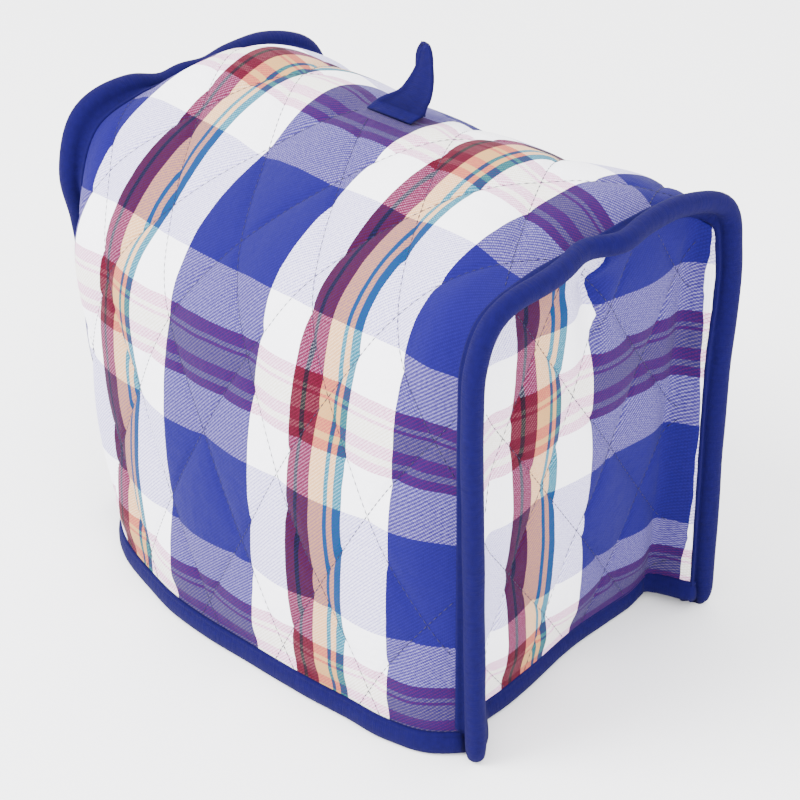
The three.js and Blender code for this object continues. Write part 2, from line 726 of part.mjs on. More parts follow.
const cover = new THREE.Group();
cover.name = 'toaster_cover';
cover.add(named('wrap_panel', wrapPanel(), PLAID));
cover.add(named('end_panel_right', endPanel(rightEnd), PLAID));
cover.add(named('end_panel_left', endPanel(leftEnd), PLAID));
cover.add(named('seam_binding_right', seamBinding(rightEnd), BLUE));
cover.add(named('seam_binding_left', seamBinding(leftEnd), BLUE));
cover.add(named('hem_binding_front', wrapHem(false), BLUE));
cover.add(named('hem_binding_back', wrapHem(true), BLUE));
cover.add(named('hem_binding_right', endHem(rightEnd), BLUE));
cover.add(named('hem_binding_left', endHem(leftEnd), BLUE));
cover.add(named('hanging_loop', hangingLoop(), BLUE));

// The middle of its outline stands on the origin
const outline = new THREE.Box3().setFromObject(cover, true).getCenter(new THREE.Vector3());
cover.position.set(-outline.x, -outline.y, 0);

export default cover;
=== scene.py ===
"""Quilted toaster cover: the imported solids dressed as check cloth, blue binding and stitching."""

import bpy
import numpy as np
from mathutils import Matrix


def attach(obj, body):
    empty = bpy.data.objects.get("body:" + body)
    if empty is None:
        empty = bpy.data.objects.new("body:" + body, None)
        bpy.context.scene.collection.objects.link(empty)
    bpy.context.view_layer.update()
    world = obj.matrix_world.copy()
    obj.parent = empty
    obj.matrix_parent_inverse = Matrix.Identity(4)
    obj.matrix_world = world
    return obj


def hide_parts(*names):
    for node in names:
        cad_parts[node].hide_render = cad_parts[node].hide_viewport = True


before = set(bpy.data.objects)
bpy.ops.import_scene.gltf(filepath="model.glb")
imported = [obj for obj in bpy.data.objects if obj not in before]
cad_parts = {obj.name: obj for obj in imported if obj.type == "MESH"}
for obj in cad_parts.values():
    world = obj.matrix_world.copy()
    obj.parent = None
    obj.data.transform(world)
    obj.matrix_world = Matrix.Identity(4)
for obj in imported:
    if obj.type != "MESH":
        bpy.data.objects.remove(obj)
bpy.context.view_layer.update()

# Millimetres in the part's own measure; SHIFT brings its outline's middle to the origin.
SHIFT = np.array([1.367, 5.0095, 0.0])
MM = 0.001

# Quilted cloth: thickness at a stitch line, and how far a diamond swells outwards and inwards
SHEET = 2.6
PUFF_OUT = 3.2
PUFF_IN = 1.2
PUFF_POWER = 0.5
# Quilting diamonds: width, height, place of one crossing, and how much the columns lean
WRAP_QUILT = (51.0, 89.5, -7.8, 21.75, 0.0)
END_QUILT = (44.6, 71.8, 20.3, 35.8, 0.1)
LEAN_FROM = 72.0  # height at which a leaning column has its stated place
CELLS = 28  # mesh cells from one crossing of the stitch lines to the next but one
FLAT_EDGE = 16.0  # the swelling grows over this distance from a seam or hem
# Unevenness of the diamonds, and the puckers beside the stitch lines
UNEVEN, UNEVEN_ACROSS, UNEVEN_ALONG = 0.16, 14, 20
PUCKER_HIGH, PUCKER_WIDE, PUCKER_COUNT = 0.085, 0.22, 6.5
PUCKER_STRAY, PUCKER_REACH = 2.5, 9
# Seeds of the unevenness of the wrap, the ends, the ridges and their lumps
WRAP_SEED, END_SEED, RIDGE_SEED, LUMP_SEED = 3, 11, 21, 31
RIPPLE_WAVES = 6
RIPPLE_SHORT, RIPPLE_LONG, RIPPLE_SCALE = 0.7, 1.6, 4

# The wrap, measured over its width (u) and along the cloth from the front hem (s)
WRAP_LEFT = -141.0
WRAP_RIGHT = 134.0
WRAP_LENGTH = 574.0
HEM_HIGH = 11.0
# Heights of the stations on its walls, and their y over the top
WALL_Z = 104
HIP_Z = 163
SHOULDER_Z = 187
OUTER_Y = 66
MIDDLE_Y = 42
INNER_Y = 18

# Sections of the wrap, as in the part: u, x, backX, backFoot, then how far the front stands
# out, the heights over the top and how far the back stands out
SECTIONS = np.array([
    [-141, -137, -137, -137, 67, 69, 72.5, 75, 209, 216, 216, 216.5, 217, 216, 208, 73, 73, 71, 70],
    [-128, -126.5, -126.5, -126.5, 76, 84.5, 85.5, 79, 208, 219, 224, 225, 225, 219, 208, 77, 80, 80, 80],
    [-112, -111, -111, -111, 91, 95.5, 93.5, 82, 207, 221, 231, 234, 231, 221, 207, 81, 87, 90, 91],
    [-91, -91, -91, -91, 101.5, 99.5, 96, 82.5, 204, 220, 233, 237, 233, 221, 205, 83, 92, 96, 97],
    [-58, -58, -58, -58, 109, 104, 99, 82, 202, 219, 231, 235, 231, 218.5, 203, 83, 94, 99, 100],
    [-33, -33, -33, -33, 112, 106, 98, 82, 201, 216, 229, 233, 229, 216, 201, 82, 93, 99, 102],
    [25, 25, 25, 25, 109, 104, 93, 82, 202, 217, 228, 231.5, 227.5, 214.5, 200, 81, 90, 96, 100],
    [51, 51, 51, 51, 106.5, 104, 93, 82.5, 203, 218, 228, 231, 227.5, 215, 201, 81, 89, 95, 98],
    [82, 82, 82, 82, 102, 99, 89, 81, 204, 218, 226, 228.5, 227, 217.5, 204, 80, 87, 92, 94],
    [105, 105, 105, 105, 99, 94, 86, 79.5, 204, 216, 221, 223, 224.5, 219.5, 207, 77, 82, 85, 88],
    [122, 123, 121, 119.5, 92, 84, 80, 77, 203, 212, 215, 217, 219, 217, 206, 73, 75, 75, 77],
    [134, 136.5, 131, 128, 77, 76.5, 76, 74, 202, 210, 211, 211, 212, 212, 204, 69, 69.5, 68, 70],
])

# End panels. How far each is drawn in, by height
RIGHT_DISH = np.array([[0, 20], [40, 16], [110, 12], [170, 8], [212, 3]], float)
LEFT_DISH = np.array([[0, 9], [60, 10], [130, 8], [180, 6], [216, 2]], float)
# The dish starts inside the seam and deepens from front to back
DISH_START = 3
DISH_RUN = 15
RIGHT_BACK_RUN = 10
DISH_FRONT_SHARE = 0.6
DISH_FRONT_Y = -50
DISH_FULL_Y = 15
# The creases fade out under the top
CREASE_START = 6
CREASE_RUN = 12

# Soft creases of the end panels: y and z of the middle, half width, half height, depth
RIGHT_CREASES = [
    (-3, 196, 9, 34, 6.5),
    (9, 92, 16, 46, -3),
    (-38, 60, 12, 40, 2.5),
]
LEFT_CREASES = [
    (14, 186, 11, 30, 5),
    (-20, 80, 18, 50, -3),
]

# Tuck under the top of the right end: its y by height, and how it stands out beside the fold
TUCK = np.array([[150, 4.4], [177, 4.4], [196, -2.6], [206, 4.5]], float)
TUCK_PROUD, TUCK_SINK = 3.0, 1.6
TUCK_WIDE = 13.0
TUCK_STEP = 2.4
TUCK_START_Z, TUCK_FULL_Z = 148, 182
TUCK_TOP_Z, TUCK_FADE_START, TUCK_FADE_END = 214, 4, 14
# The check follows the tuck above these heights
BEND_START_Z, BEND_FULL_Z, BEND_WIDE, BEND_MIDDLE_Y = 165, 180, 14, 1.9

# Flare of the right end's back edge: its depth low down and more above, and its heights
FLARE, FLARE_MORE = 3.4, 3.2
FLARE_START_Z, FLARE_FULL_Z = 130, 180
FLARE_INNER, FLARE_OUTER = -8.5, -2.0  # from the back seam
# The hem of an end is drawn up beside its back seam
LIFT_START_Y, LIFT_FULL_Y, LIFT_HIGH = 44, 66, 60
RIGHT_LIFT, LEFT_LIFT = 5.5, 1.0

# Width of the wrap that the seam bindings cover
RIGHT_COVER = 4.4
LEFT_COVER = RIGHT_COVER * 1.2

# Sway of the bound seams: place along the seam, reach, sideways and outwards
RIGHT_SWAY = np.array([
    [246, 16, -1.6, -1.2],
    [272, 12, 2.4, -2.0],
    [290, 12, -2.2, 1.6],
    [385, 40, 0, 2.2],
    [470, 40, 1.6, 0],
    [574, 60, 3, 0],
])
LEFT_SWAY = np.array([
    [120, 45, -1.5, 0],
    [232, 18, 1.4, 0.6],
    [264, 12, -1.4, -3.0],
    [290, 12, 0.8, -3.1],
    [334, 18, -1.0, 2.6],
])

# Hanging loop: height over its seat, and its left and right edge there
LOOP_OUTLINE = np.array([
    [0, -9.5, 19.5],
    [1.5, -8.5, 22.5],
    [5, -3, 24.3],
    [10, 6.5, 27.5],
    [17, 13.5, 29.5],
    [25, 19, 29.5],
    [31, 21.5, 29],
    [34, 24, 27.2],
])
LOOP_TIP = 34.0
LOOP_LIFT = 2.2  # its seat over the wrap's middle surface
LOOP_Y = 1.0  # middle of what is flattened under it
LOOP_MIDDLE = 4.4  # y between its two leaves
LOOP_HALF = 1.3  # from there to the middle of a leaf
LOOP_FOOT = 5.0  # flap in front, and the shorter one behind
LOOP_HEEL = 4.0
LOOP_BELLY = 0.5
LOOP_LEAF_START, LOOP_LEAF_STOP = 2.0, 1.6
LOOP_TIP_ROUND = 1.5
# The back leaf stands further left than the front one
LOOP_LEFT_SHIFT, LOOP_RIGHT_SHIFT = 4.4, 3.2
LOOP_SHIFT_START, LOOP_SHIFT_FULL, LOOP_BETWEEN = 16, 28, 0.8

# The check, in millimetres of its own measure. Warp repeat: width and yarn of each stripe.
WARP = [
    (58.0, "blue"),
    (26.0, "white"),
    (5.0, "burgundy"), (2.2, "navy"), (6.4, "burgundy"),
    (8.2, "tan"), (2.6, "teal"), (2.6, "tan"), (4.2, "teal"), (0.4, "tan"),
    (25.4, "white"),
]
WEFT = [
    (52.0, "weft blue"),
    (24.5, "white"),
    (5.0, "magenta"), (2.9, "sand"), (5.5, "magenta"), (8.4, "sand"),
    (1.7, "magenta"), (2.1, "sand"), (5.9, "magenta"),
    (25.0, "white"),
]
YARNS = {
    "blue": (0x0E, 0x06, 0x46),
    "weft blue": (0x1E, 0x12, 0x78),
    "white": (0xF6, 0xF5, 0xFC),
    "burgundy": (0x34, 0x00, 0x0E),
    "navy": (0x01, 0x01, 0x07),
    "tan": (0xAE, 0x7A, 0x48),
    "teal": (0x01, 0x3A, 0x50),
    "magenta": (0x78, 0x02, 0x3A),
    "sand": (0xA0, 0x94, 0x70),
}
# Where the stripes lie on the made-up cover: cloth measure, and measure in the check
WRAP_WARP = ([-117, -91, -77.5, -58.5, -33, 25, 50.7, 64.5, 81.5, 105],
             [58, 84, 97.6, 115.6, 141, 199, 225, 238.6, 256.6, 282])
WRAP_WEFT = ([35.7, 56.7, 108.6, 132.9, 164.3, 188.7, 240.5, 267.5, 298.7, 323, 375],
             [-25, 0, 52, 76.5, 108, 133, 185, 209.5, 241, 266, 318])
END_WARP = ([-50, -36.6, -19.6, 1.9, 63.5], [84, 97.6, 115.6, 141, 199])
END_WEFT = ([32.3, 48.7, 101.8, 126.6, 158.8, 182.3], [-25, 0, 52, 76.5, 108, 133])

# Looks of the cloth, in millimetres of cloth measure or shares of 1
YARN_PITCH = 0.6  # one yarn of the check's twill
BINDING_PITCH = 0.5
TWILL_REPEAT, TWILL_UP = 3.0, 1.5
REPEATS_AHEAD, STEPS_AHEAD = 4, 6000.0  # keep every count of the pattern above 0
WANDER_SCALE, WANDER = 0.045, 1.6
WEFT_SHARE, WARP_UP_SHARE = 0.43, -0.24
SLUB_SCALE, SLUB = 0.9, 0.4
YARN_SHADE = 0.14  # darker between the yarns
YARN_BUMP = 0.00012
DIAGONAL = 0.7071  # of the binding's twill, cut on the bias
THREAD_TWIST = 9.0
# Dark and light blue of the binding: mixed partly by painted shade between its yarns, partly by uneven
# tone
BINDING_DARK, BINDING_LIGHT = (0x05, 0x02, 0x28), (0x0E, 0x06, 0x48)
# Dark and light of the thread: painted shade of its twisted plies
THREAD_DARK, THREAD_LIGHT = (0x04, 0x02, 0x1C), (0x10, 0x08, 0x3C)


def ease(value, low, high):
    t = np.clip((value - low) / (high - low), 0, 1)
    return t * t * (3 - 2 * t)


def column(xs, ys, at):
    """Smooth curve through a table, as the part's source draws it."""
    last = len(xs) - 1
    at = np.clip(np.asarray(at, float), xs[0], xs[last])
    i = np.searchsorted(xs[1:last], at, side="left")
    slope = np.diff(ys, axis=0) / (np.diff(xs).reshape((-1,) + (1,) * (ys.ndim - 1)))
    lean = np.concatenate([slope[:1], (slope[:-1] + slope[1:]) / 2, slope[-1:]])
    span = xs[i + 1] - xs[i]
    t = (at - xs[i]) / span
    if ys.ndim > 1:
        t, span = t[..., None], span[..., None]
    return ((1 + 2 * t) * (1 - t) ** 2 * ys[i] + t * (1 - t) ** 2 * span * lean[i]
            + t * t * (3 - 2 * t) * ys[i + 1] - t * t * (1 - t) * span * lean[i + 1])


def stretch(at, knots):
    """Piecewise linear through the knots, at slope 1 outside them."""
    here, there = np.array(knots[0], float), np.array(knots[1], float)
    return np.interp(at, here, there) + np.minimum(at - here[0], 0) + np.maximum(at - here[-1], 0)


def unit(v):
    return v / np.linalg.norm(v, axis=-1, keepdims=True)


def stations(u):
    """Points that a section of the wrap passes through, from the front hem to the back one."""
    v = column(SECTIONS[:, 0], SECTIONS[:, 1:], u)
    x, back_x, back_foot = v[:, 0], v[:, 1], v[:, 2]
    (hem, wall, hip, shoulder, outer, middle, inner, crown,
     back_inner, back_middle, back_outer, back_shoulder, back_hip, back_wall, back_hem) = v[:, 3:].T
    rows = [
        (x, -hem, 0),
        (x, -wall, WALL_Z),
        (x, -hip, HIP_Z),
        (x, -shoulder, SHOULDER_Z),
        (x, -OUTER_Y, outer),
        (x, -MIDDLE_Y, middle),
        ((2 * x + back_x) / 3, -INNER_Y, inner),
        ((x + back_x) / 2, 0, crown),
        ((x + 2 * back_x) / 3, INNER_Y, back_inner),
        (back_x, MIDDLE_Y, back_middle),
        (back_x, OUTER_Y, back_outer),
        (back_x, back_shoulder, SHOULDER_Z),
        (back_x, back_hip, HIP_Z),
        (back_x, back_wall, WALL_Z),
        (back_foot, back_hem, 0),
    ]
    return np.stack([np.stack(np.broadcast_arrays(*row), axis=-1) for row in rows], axis=1)


def section_points(u, per_span=60):
    """Points along the sections at u: centripetal Catmull-Rom through the stations."""
    p = stations(u)
    p = np.concatenate([2 * p[:, :1] - p[:, 1:2], p, 2 * p[:, -1:] - p[:, -2:-1]], axis=1)
    d = ((p[:, 1:] - p[:, :-1]) ** 2).sum(-1)[..., None] ** 0.25
    t = np.linspace(0, 1, per_span, endpoint=False)[None, :, None]
    parts = []
    for i in range(p.shape[1] - 3):
        x0, x1, x2, x3 = (p[:, i + k] for k in range(4))
        a, b, c = d[:, i], d[:, i + 1], d[:, i + 2]
        m1 = ((x1 - x0) / a - (x2 - x0) / (a + b) + (x2 - x1) / b) * b
        m2 = ((x2 - x1) / b - (x3 - x1) / (b + c) + (x3 - x2) / c) * b
        x1, x2, m1, m2 = x1[:, None], x2[:, None], m1[:, None], m2[:, None]
        parts.append((2 * t ** 3 - 3 * t ** 2 + 1) * x1 + (t ** 3 - 2 * t ** 2 + t) * m1
                     + (3 * t ** 2 - 2 * t ** 3) * x2 + (t ** 3 - t ** 2) * m2)
    parts.append(p[:, -2][:, None])
    return np.concatenate(parts, axis=1)


# The wrap's middle surface, looked up on a fine grid of u and s
LOOKUP = 0.5
U_LINES = np.arange(WRAP_LEFT, WRAP_RIGHT + LOOKUP / 2, LOOKUP)
S_LINES = np.arange(0, WRAP_LENGTH + LOOKUP / 2, LOOKUP)


def wrap_lookup():
    """Places on the wrap for each u line and s line."""
    points = section_points(U_LINES)
    steps = np.linalg.norm(np.diff(points, axis=1), axis=-1)
    share = np.concatenate([np.zeros((len(points), 1)), np.cumsum(steps, axis=1)], axis=1)
    share /= share[:, -1:]
    wanted = S_LINES / WRAP_LENGTH
    return np.stack([
        np.stack([np.interp(wanted, share[i], points[i, :, k]) for k in range(3)], axis=-1)
        for i in range(len(points))])


WRAP_TABLE = wrap_lookup()
WITHIN_LAST = 1.000001  # keeps a place inside the last cell of the grid


def wrap_base(u, s):
    """Middle surface of the wrap."""
    a = np.clip((u - WRAP_LEFT) / LOOKUP, 0, len(U_LINES) - WITHIN_LAST)
    b = np.clip(s / LOOKUP, 0, len(S_LINES) - WITHIN_LAST)
    a, b = np.broadcast_arrays(a, b)
    i, j = a.astype(int), b.astype(int)
    fa, fb = (a - i)[..., None], (b - j)[..., None]
    low = WRAP_TABLE[i, j] * (1 - fa) + WRAP_TABLE[i + 1, j] * fa
    high = WRAP_TABLE[i, j + 1] * (1 - fa) + WRAP_TABLE[i + 1, j + 1] * fa
    return low * (1 - fb) + high * fb


SLOPE_STEP = 1.5  # a surface's slope is taken over this distance
SLOPE_EDGE = 1.6  # and no nearer to its edge than this


def outward(base, a, b):
    step = SLOPE_STEP
    return unit(np.cross(base(a + step, b) - base(a - step, b), base(a, b + step) - base(a, b - step)))


def wrap_outward(u, s):
    return outward(wrap_base, np.clip(u, WRAP_LEFT + SLOPE_EDGE, WRAP_RIGHT - SLOPE_EDGE),
                   np.clip(s, SLOPE_EDGE, WRAP_LENGTH - SLOPE_EDGE))


def ripple(a, b, seed):
    """Soft unevenness from a few crossing waves, -1 to 1."""
    rng = np.random.default_rng(seed)
    total = 0
    for _ in range(RIPPLE_WAVES):
        angle, phase = rng.uniform(0, 2 * np.pi, 2)
        length = rng.uniform(RIPPLE_SHORT, RIPPLE_LONG)
        total = total + np.sin((a * np.cos(angle) + b * np.sin(angle)) / length + phase)
    return total / RIPPLE_SCALE


def fullness(quilt, across, along, seed):
    """Quilting: 0 on a stitch line, about 1 in the middle of a diamond, never quite alike."""
    wide, tall, from_across, from_along, lean = quilt
    right = (across - from_across + lean * (along - LEAN_FROM)) / wide
    up = (along - from_along) / tall
    a, b = right + up, right - up
    sin_a, sin_b = np.abs(np.sin(np.pi * a)), np.abs(np.sin(np.pi * b))
    full = (sin_a * sin_b) ** PUFF_POWER
    uneven = 1 + UNEVEN * ripple(across / UNEVEN_ACROSS, along / UNEVEN_ALONG, seed)

    def puckers(beside, place, key):
        stray = PUCKER_STRAY * ripple(across / PUCKER_REACH, along / PUCKER_REACH, key)
        wave = np.sin(place * 2 * np.pi * PUCKER_COUNT + stray)
        return np.exp(-((beside / PUCKER_WIDE) ** 2)) * beside / PUCKER_WIDE * wave

    # they run square to the stitch line that they lie beside
    pucker = PUCKER_HIGH * (puckers(sin_a, b, seed + 1) + puckers(sin_b, a, seed + 2))
    return full * uneven + pucker * np.sqrt(full)


def tuck_line(z):
    """Where the tuck runs, by height."""
    return np.interp(z, TUCK[:, 0], TUCK[:, 1])


def tuck(y, z):
    """How far the cloth stands out (or sinks, below 0) beside the tuck."""
    past = y - tuck_line(z)
    fade = (ease(z, TUCK_START_Z, TUCK_FULL_Z)
            * ease(TUCK_TOP_Z - z, TUCK_FADE_START, TUCK_FADE_END))
    near = np.exp(-(past / TUCK_WIDE) ** 2)
    proud = TUCK_PROUD * ease(past, -TUCK_STEP, TUCK_STEP) * near
    sunk = TUCK_SINK * ease(-past, -TUCK_STEP, TUCK_STEP) * near
    return (proud - sunk) * fade


class End:
    """One end of the cover: its panel's surface and the edge of the wrap round it."""

    def __init__(self, u, sign, dish, back_run, creases, sway, wrap_edge, lift):
        self.u, self.sign, self.dish, self.back_run = u, sign, dish, back_run
        self.creases, self.sway, self.wrap_edge, self.lift = creases, sway, wrap_edge, lift
        curve = WRAP_TABLE[-1] if sign > 0 else WRAP_TABLE[0]
        half = len(curve) // 2
        self.front, self.back = curve[:half + 1], curve[half:][::-1]
        quarter = len(curve) // 4
        self.over = curve[quarter:-quarter]
        self.top = self.height(0.0)

    def at_height(self, z, back):
        """x and y of the wrap's edge at a height, in front or at the back."""
        line = self.back if back else self.front
        return [np.interp(z, line[:, 2], line[:, k]) for k in range(2)]

    def height(self, y):
        """Height of the wrap's edge over the top."""
        return np.interp(y, self.over[:, 1], self.over[:, 2])

    def base(self, y, z):
        """Middle surface of the end panel."""
        wall = np.minimum(z, SHOULDER_Z)
        front_x, front_y = self.at_height(wall, False)
        back_x, back_y = self.at_height(wall, True)
        share = np.clip((y - front_y) / (back_y - front_y), 0, 1)
        x = front_x + (back_x - front_x) * share
        held = np.minimum(ease(y - front_y, DISH_START, DISH_START + DISH_RUN),
                          ease(back_y - y, DISH_START, DISH_START + self.back_run))
        deeper = DISH_FRONT_SHARE + (1 - DISH_FRONT_SHARE) * ease(y, DISH_FRONT_Y, DISH_FULL_Y)
        crease = sum(deep * np.exp(-((y - at_y) / wide) ** 2 - ((z - at_z) / tall) ** 2)
                     for at_y, at_z, wide, tall, deep in self.creases)
        crease = crease * ease(self.top - z, CREASE_START, CREASE_START + CREASE_RUN)
        inset = column(self.dish[:, 0], self.dish[:, 1], z) * deeper + crease
        flare = 0.0
        if self.sign > 0:
            inset = inset - tuck(y, z)
            flare = ((FLARE + FLARE_MORE * ease(z, FLARE_START_Z, FLARE_FULL_Z))
                     * ease(y - back_y, FLARE_INNER, FLARE_OUTER))
        drawn_up = (self.lift * ease(y, LIFT_START_Y, LIFT_FULL_Y)
                    * ease(LIFT_HIGH - z, 0, LIFT_HIGH))
        y, z = np.broadcast_arrays(y, z)
        return np.stack([x - self.sign * inset * held + flare, y, z + drawn_up], axis=-1)

    def outward(self, y, z):
        return outward(self.base, y, z) * self.sign


RIGHT = End(WRAP_RIGHT, 1, RIGHT_DISH, RIGHT_BACK_RUN, RIGHT_CREASES, RIGHT_SWAY,
            WRAP_RIGHT - RIGHT_COVER, RIGHT_LIFT)
LEFT = End(WRAP_LEFT, -1, LEFT_DISH, DISH_RUN, LEFT_CREASES, LEFT_SWAY,
           WRAP_LEFT + LEFT_COVER, LEFT_LIFT)


def linear(rgb):
    """8-bit display colour as the scene's linear one, with alpha."""
    c = np.array(rgb) / 255
    return (*np.where(c <= 0.04045, c / 12.92, ((c + 0.055) / 1.055) ** 2.4), 1.0)


class Nodes:
    """Short hand for building a material's node tree."""

    def __init__(self, name):
        self.material = bpy.data.materials.new(name)
        self.material.use_nodes = True
        self.tree = self.material.node_tree
        self.shader = next(n for n in self.tree.nodes if n.type == "BSDF_PRINCIPLED")

    def new(self, kind, **settings):
        node = self.tree.nodes.new("ShaderNode" + kind)
        for key, value in settings.items():
            setattr(node, key, value)
        return node

    def link(self, source, target):
        self.tree.links.new(source, target)

    def put(self, socket, value):
        if isinstance(value, (int, float, tuple)):
            socket.default_value = value
        else:
            self.link(value, socket)

    def math(self, operation, *values):
        node = self.new("Math", operation=operation)
        for socket, value in zip(node.inputs, values):
            self.put(socket, value)
        return node.outputs[0]

    def add(self, a, b):
        return self.math("ADD", a, b)

    def times(self, a, b):
        return self.math("MULTIPLY", a, b)

    def mix(self, share, a, b, blend="MIX"):
        node = self.new("Mix", data_type="RGBA", blend_type=blend)
        self.put(node.inputs[0], share)
        self.put(node.inputs[6], a)
        self.put(node.inputs[7], b)
        return node.outputs[2]

    def noise(self, where, scale, detail=2.0):
        node = self.new("TexNoise")
        node.inputs["Scale"].default_value = scale
        node.inputs["Detail"].default_value = detail
        self.link(where, node.inputs["Vector"])
        return node.outputs[0]

    def bump(self, height, distance, strength, normal=None):
        node = self.new("Bump")
        node.inputs["Strength"].default_value = strength
        node.inputs["Distance"].default_value = distance
        self.link(height, node.inputs["Height"])
        if normal is not None:
            self.link(normal, node.inputs["Normal"])
        return node.outputs[0]

    def finish(self, colour, roughness, sheen=0.0, specular=0.5, normal=None):
        """The material, with what its shader needs."""
        inputs = self.shader.inputs
        self.put(inputs["Base Color"], colour)
        inputs["Roughness"].default_value = roughness
        inputs["Sheen Weight"].default_value = sheen
        inputs["Specular IOR Level"].default_value = specular
        if normal is not None:
            self.link(normal, inputs["Normal"])
        return self.material

    def around_middle(self, noise, amount):
        """A noise as a change to either side of 0."""
        return self.times(self.math("SUBTRACT", noise, 0.5), amount)

    def stripes(self, place, table):
        """Cube root of the colour of the yarns at a place, from a repeat of widths."""
        repeat = sum(width for width, _ in table)
        ahead = self.add(place, repeat * REPEATS_AHEAD)
        share = self.math("FRACT", self.math("DIVIDE", ahead, repeat))
        ramp = self.new("ValToRGB")
        ramp.color_ramp.interpolation = "CONSTANT"
        elements = ramp.color_ramp.elements
        while len(elements) > 1:
            elements.remove(elements[-1])
        at = 0.0
        for k, (width, yarn) in enumerate(table):
            element = elements[0] if k == 0 else elements.new(at / repeat)
            element.position = at / repeat
            element.color = tuple(np.cbrt(linear(YARNS[yarn])))
            at += width
        self.link(share, ramp.inputs[0])
        return ramp.outputs[0]

    def measure(self):
        """Cloth measure in millimetres, from the piece's own map."""
        uv = self.new("UVMap", uv_map="cloth")
        parts = self.new("SeparateXYZ")
        self.link(uv.outputs[0], parts.inputs[0])
        return uv.outputs[0], parts.outputs[0], parts.outputs[1]

    def twill(self, x, y, pitch, turn):
        """Which yarn is on top in a two-and-one twill, and the height of its back."""
        across, along = self.math("DIVIDE", x, pitch), self.math("DIVIDE", y, pitch)
        i, j = self.math("FLOOR", across), self.math("FLOOR", along)
        step = self.add(i, self.times(j, float(turn)))
        step = self.math("MODULO", self.add(step, STEPS_AHEAD), TWILL_REPEAT)
        warp_up = self.math("LESS_THAN", step, TWILL_UP)
        round_i = self.math("SINE", self.times(self.math("FRACT", across), np.pi))
        round_j = self.math("SINE", self.times(self.math("FRACT", along), np.pi))
        height = self.add(self.times(warp_up, round_i),
                           self.times(self.math("SUBTRACT", 1.0, warp_up), round_j))
        return warp_up, height


def check_material():
    n = Nodes("check cotton")
    uv, x, y = n.measure()
    wander = n.around_middle(n.noise(uv, WANDER_SCALE), WANDER)
    warp = n.stripes(n.add(x, wander), WARP)
    weft = n.stripes(n.add(y, wander), WEFT)
    warp_up, height = n.twill(x, y, YARN_PITCH, -1)
    share = n.add(n.times(warp_up, WARP_UP_SHARE), WEFT_SHARE)
    share = n.add(share, n.around_middle(n.noise(uv, SLUB_SCALE, 3.0), SLUB))
    share = n.math("MINIMUM", n.math("MAXIMUM", share, 0.0), 1.0)
    # mixed as cube roots, as fine yarns of two colours look from afar
    root = n.mix(share, warp, weft)
    colour = n.mix(1.0, root, n.mix(1.0, root, root, "MULTIPLY"), "MULTIPLY")
    shade = n.add(1 - YARN_SHADE, n.times(height, YARN_SHADE))
    colour = n.mix(1.0, colour, shade, "MULTIPLY")
    fine = n.bump(height, YARN_BUMP, strength=0.6)
    crumple = n.bump(n.noise(uv, scale=0.11, detail=4.0), distance=0.0016, strength=0.7, normal=fine)
    return n.finish(colour, roughness=0.88, sheen=0.02, specular=0.1, normal=crumple)


def binding_material():
    n = Nodes("blue binding")
    uv, x, y = n.measure()
    slant_x = n.times(n.add(x, y), DIAGONAL)
    slant_y = n.times(n.math("SUBTRACT", y, x), DIAGONAL)
    _, height = n.twill(slant_x, slant_y, BINDING_PITCH, 1)
    mottle = n.noise(uv, scale=0.35, detail=4.0)
    # painted shade: raised yarns lighter, grooves between them darker; the mottle is uneven tone of the
    # cloth
    share = n.add(n.times(height, 0.35), n.times(mottle, 0.55))
    colour = n.mix(share, linear(BINDING_DARK), linear(BINDING_LIGHT))
    fine = n.bump(height, YARN_BUMP, strength=0.7)
    # small ribs across the strip, where it is drawn round the seam
    ribs = n.new("Mapping")
    ribs.inputs["Scale"].default_value = (0.05, 0.5, 1.0)
    n.link(uv, ribs.inputs["Vector"])
    crumple = n.noise(ribs.outputs[0], scale=1.0, detail=3.0)
    crumple = n.bump(crumple, distance=0.0008, strength=0.6, normal=fine)
    return n.finish(colour, roughness=0.9, sheen=0.01, specular=0.08, normal=crumple)


def thread_material():
    n = Nodes("navy thread")
    _, x, y = n.measure()
    # painted shade: bands along the twist, lighter and darker as the plies turn
    ply = n.math("SINE", n.times(n.add(x, y), THREAD_TWIST))
    share = n.add(0.5, n.times(ply, 0.5))
    colour = n.mix(share, linear(THREAD_DARK), linear(THREAD_LIGHT))
    return n.finish(colour, roughness=0.7)


CHECK = check_material()
BINDING = binding_material()
THREAD = thread_material()


def new_object(name, data):
    thing = bpy.data.objects.new(name, data)
    bpy.context.scene.collection.objects.link(thing)
    return thing


def make_piece(name, points, faces, uv, material, nodes=()):
    """Mesh from millimetre points, riding on the cover's only body."""
    mesh = bpy.data.meshes.new(name)
    faces = np.asarray(faces, int)
    mesh.from_pydata(((np.asarray(points) + SHIFT) * MM).tolist(), [], faces.tolist())
    layer = mesh.uv_layers.new(name="cloth")
    layer.data.foreach_set("uv", np.asarray(uv, float)[faces.ravel()].ravel())
    mesh.polygons.foreach_set("use_smooth", [True] * len(faces))
    mesh.materials.append(material)
    mesh.update()
    piece = new_object(name, mesh)
    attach(piece, "root")
    if nodes:
        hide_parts(*nodes)
    return piece


def sheet_piece(name, base, out, full, skin, uv, node):
    """Quilted sheet of cloth, from its middle surface, its fullness and its outer faces."""
    outer = base + out * (PUFF_OUT * full)[..., None]
    inner = base - out * (SHEET + PUFF_IN * full)[..., None]
    points = np.concatenate([outer.reshape(-1, 3), inner.reshape(-1, 3)])
    count = len(points) // 2
    rim = np.array(rim_of(skin))
    after = np.roll(rim, -1)
    edge = np.concatenate([
        np.stack([after, rim, rim + count], axis=1),
        np.stack([after, rim + count, after + count], axis=1)])
    faces = np.concatenate([skin, skin[:, ::-1] + count, edge])
    uv = uv.reshape(-1, 2)
    return make_piece(name, points, faces, np.concatenate([uv, uv]), CHECK, [node])


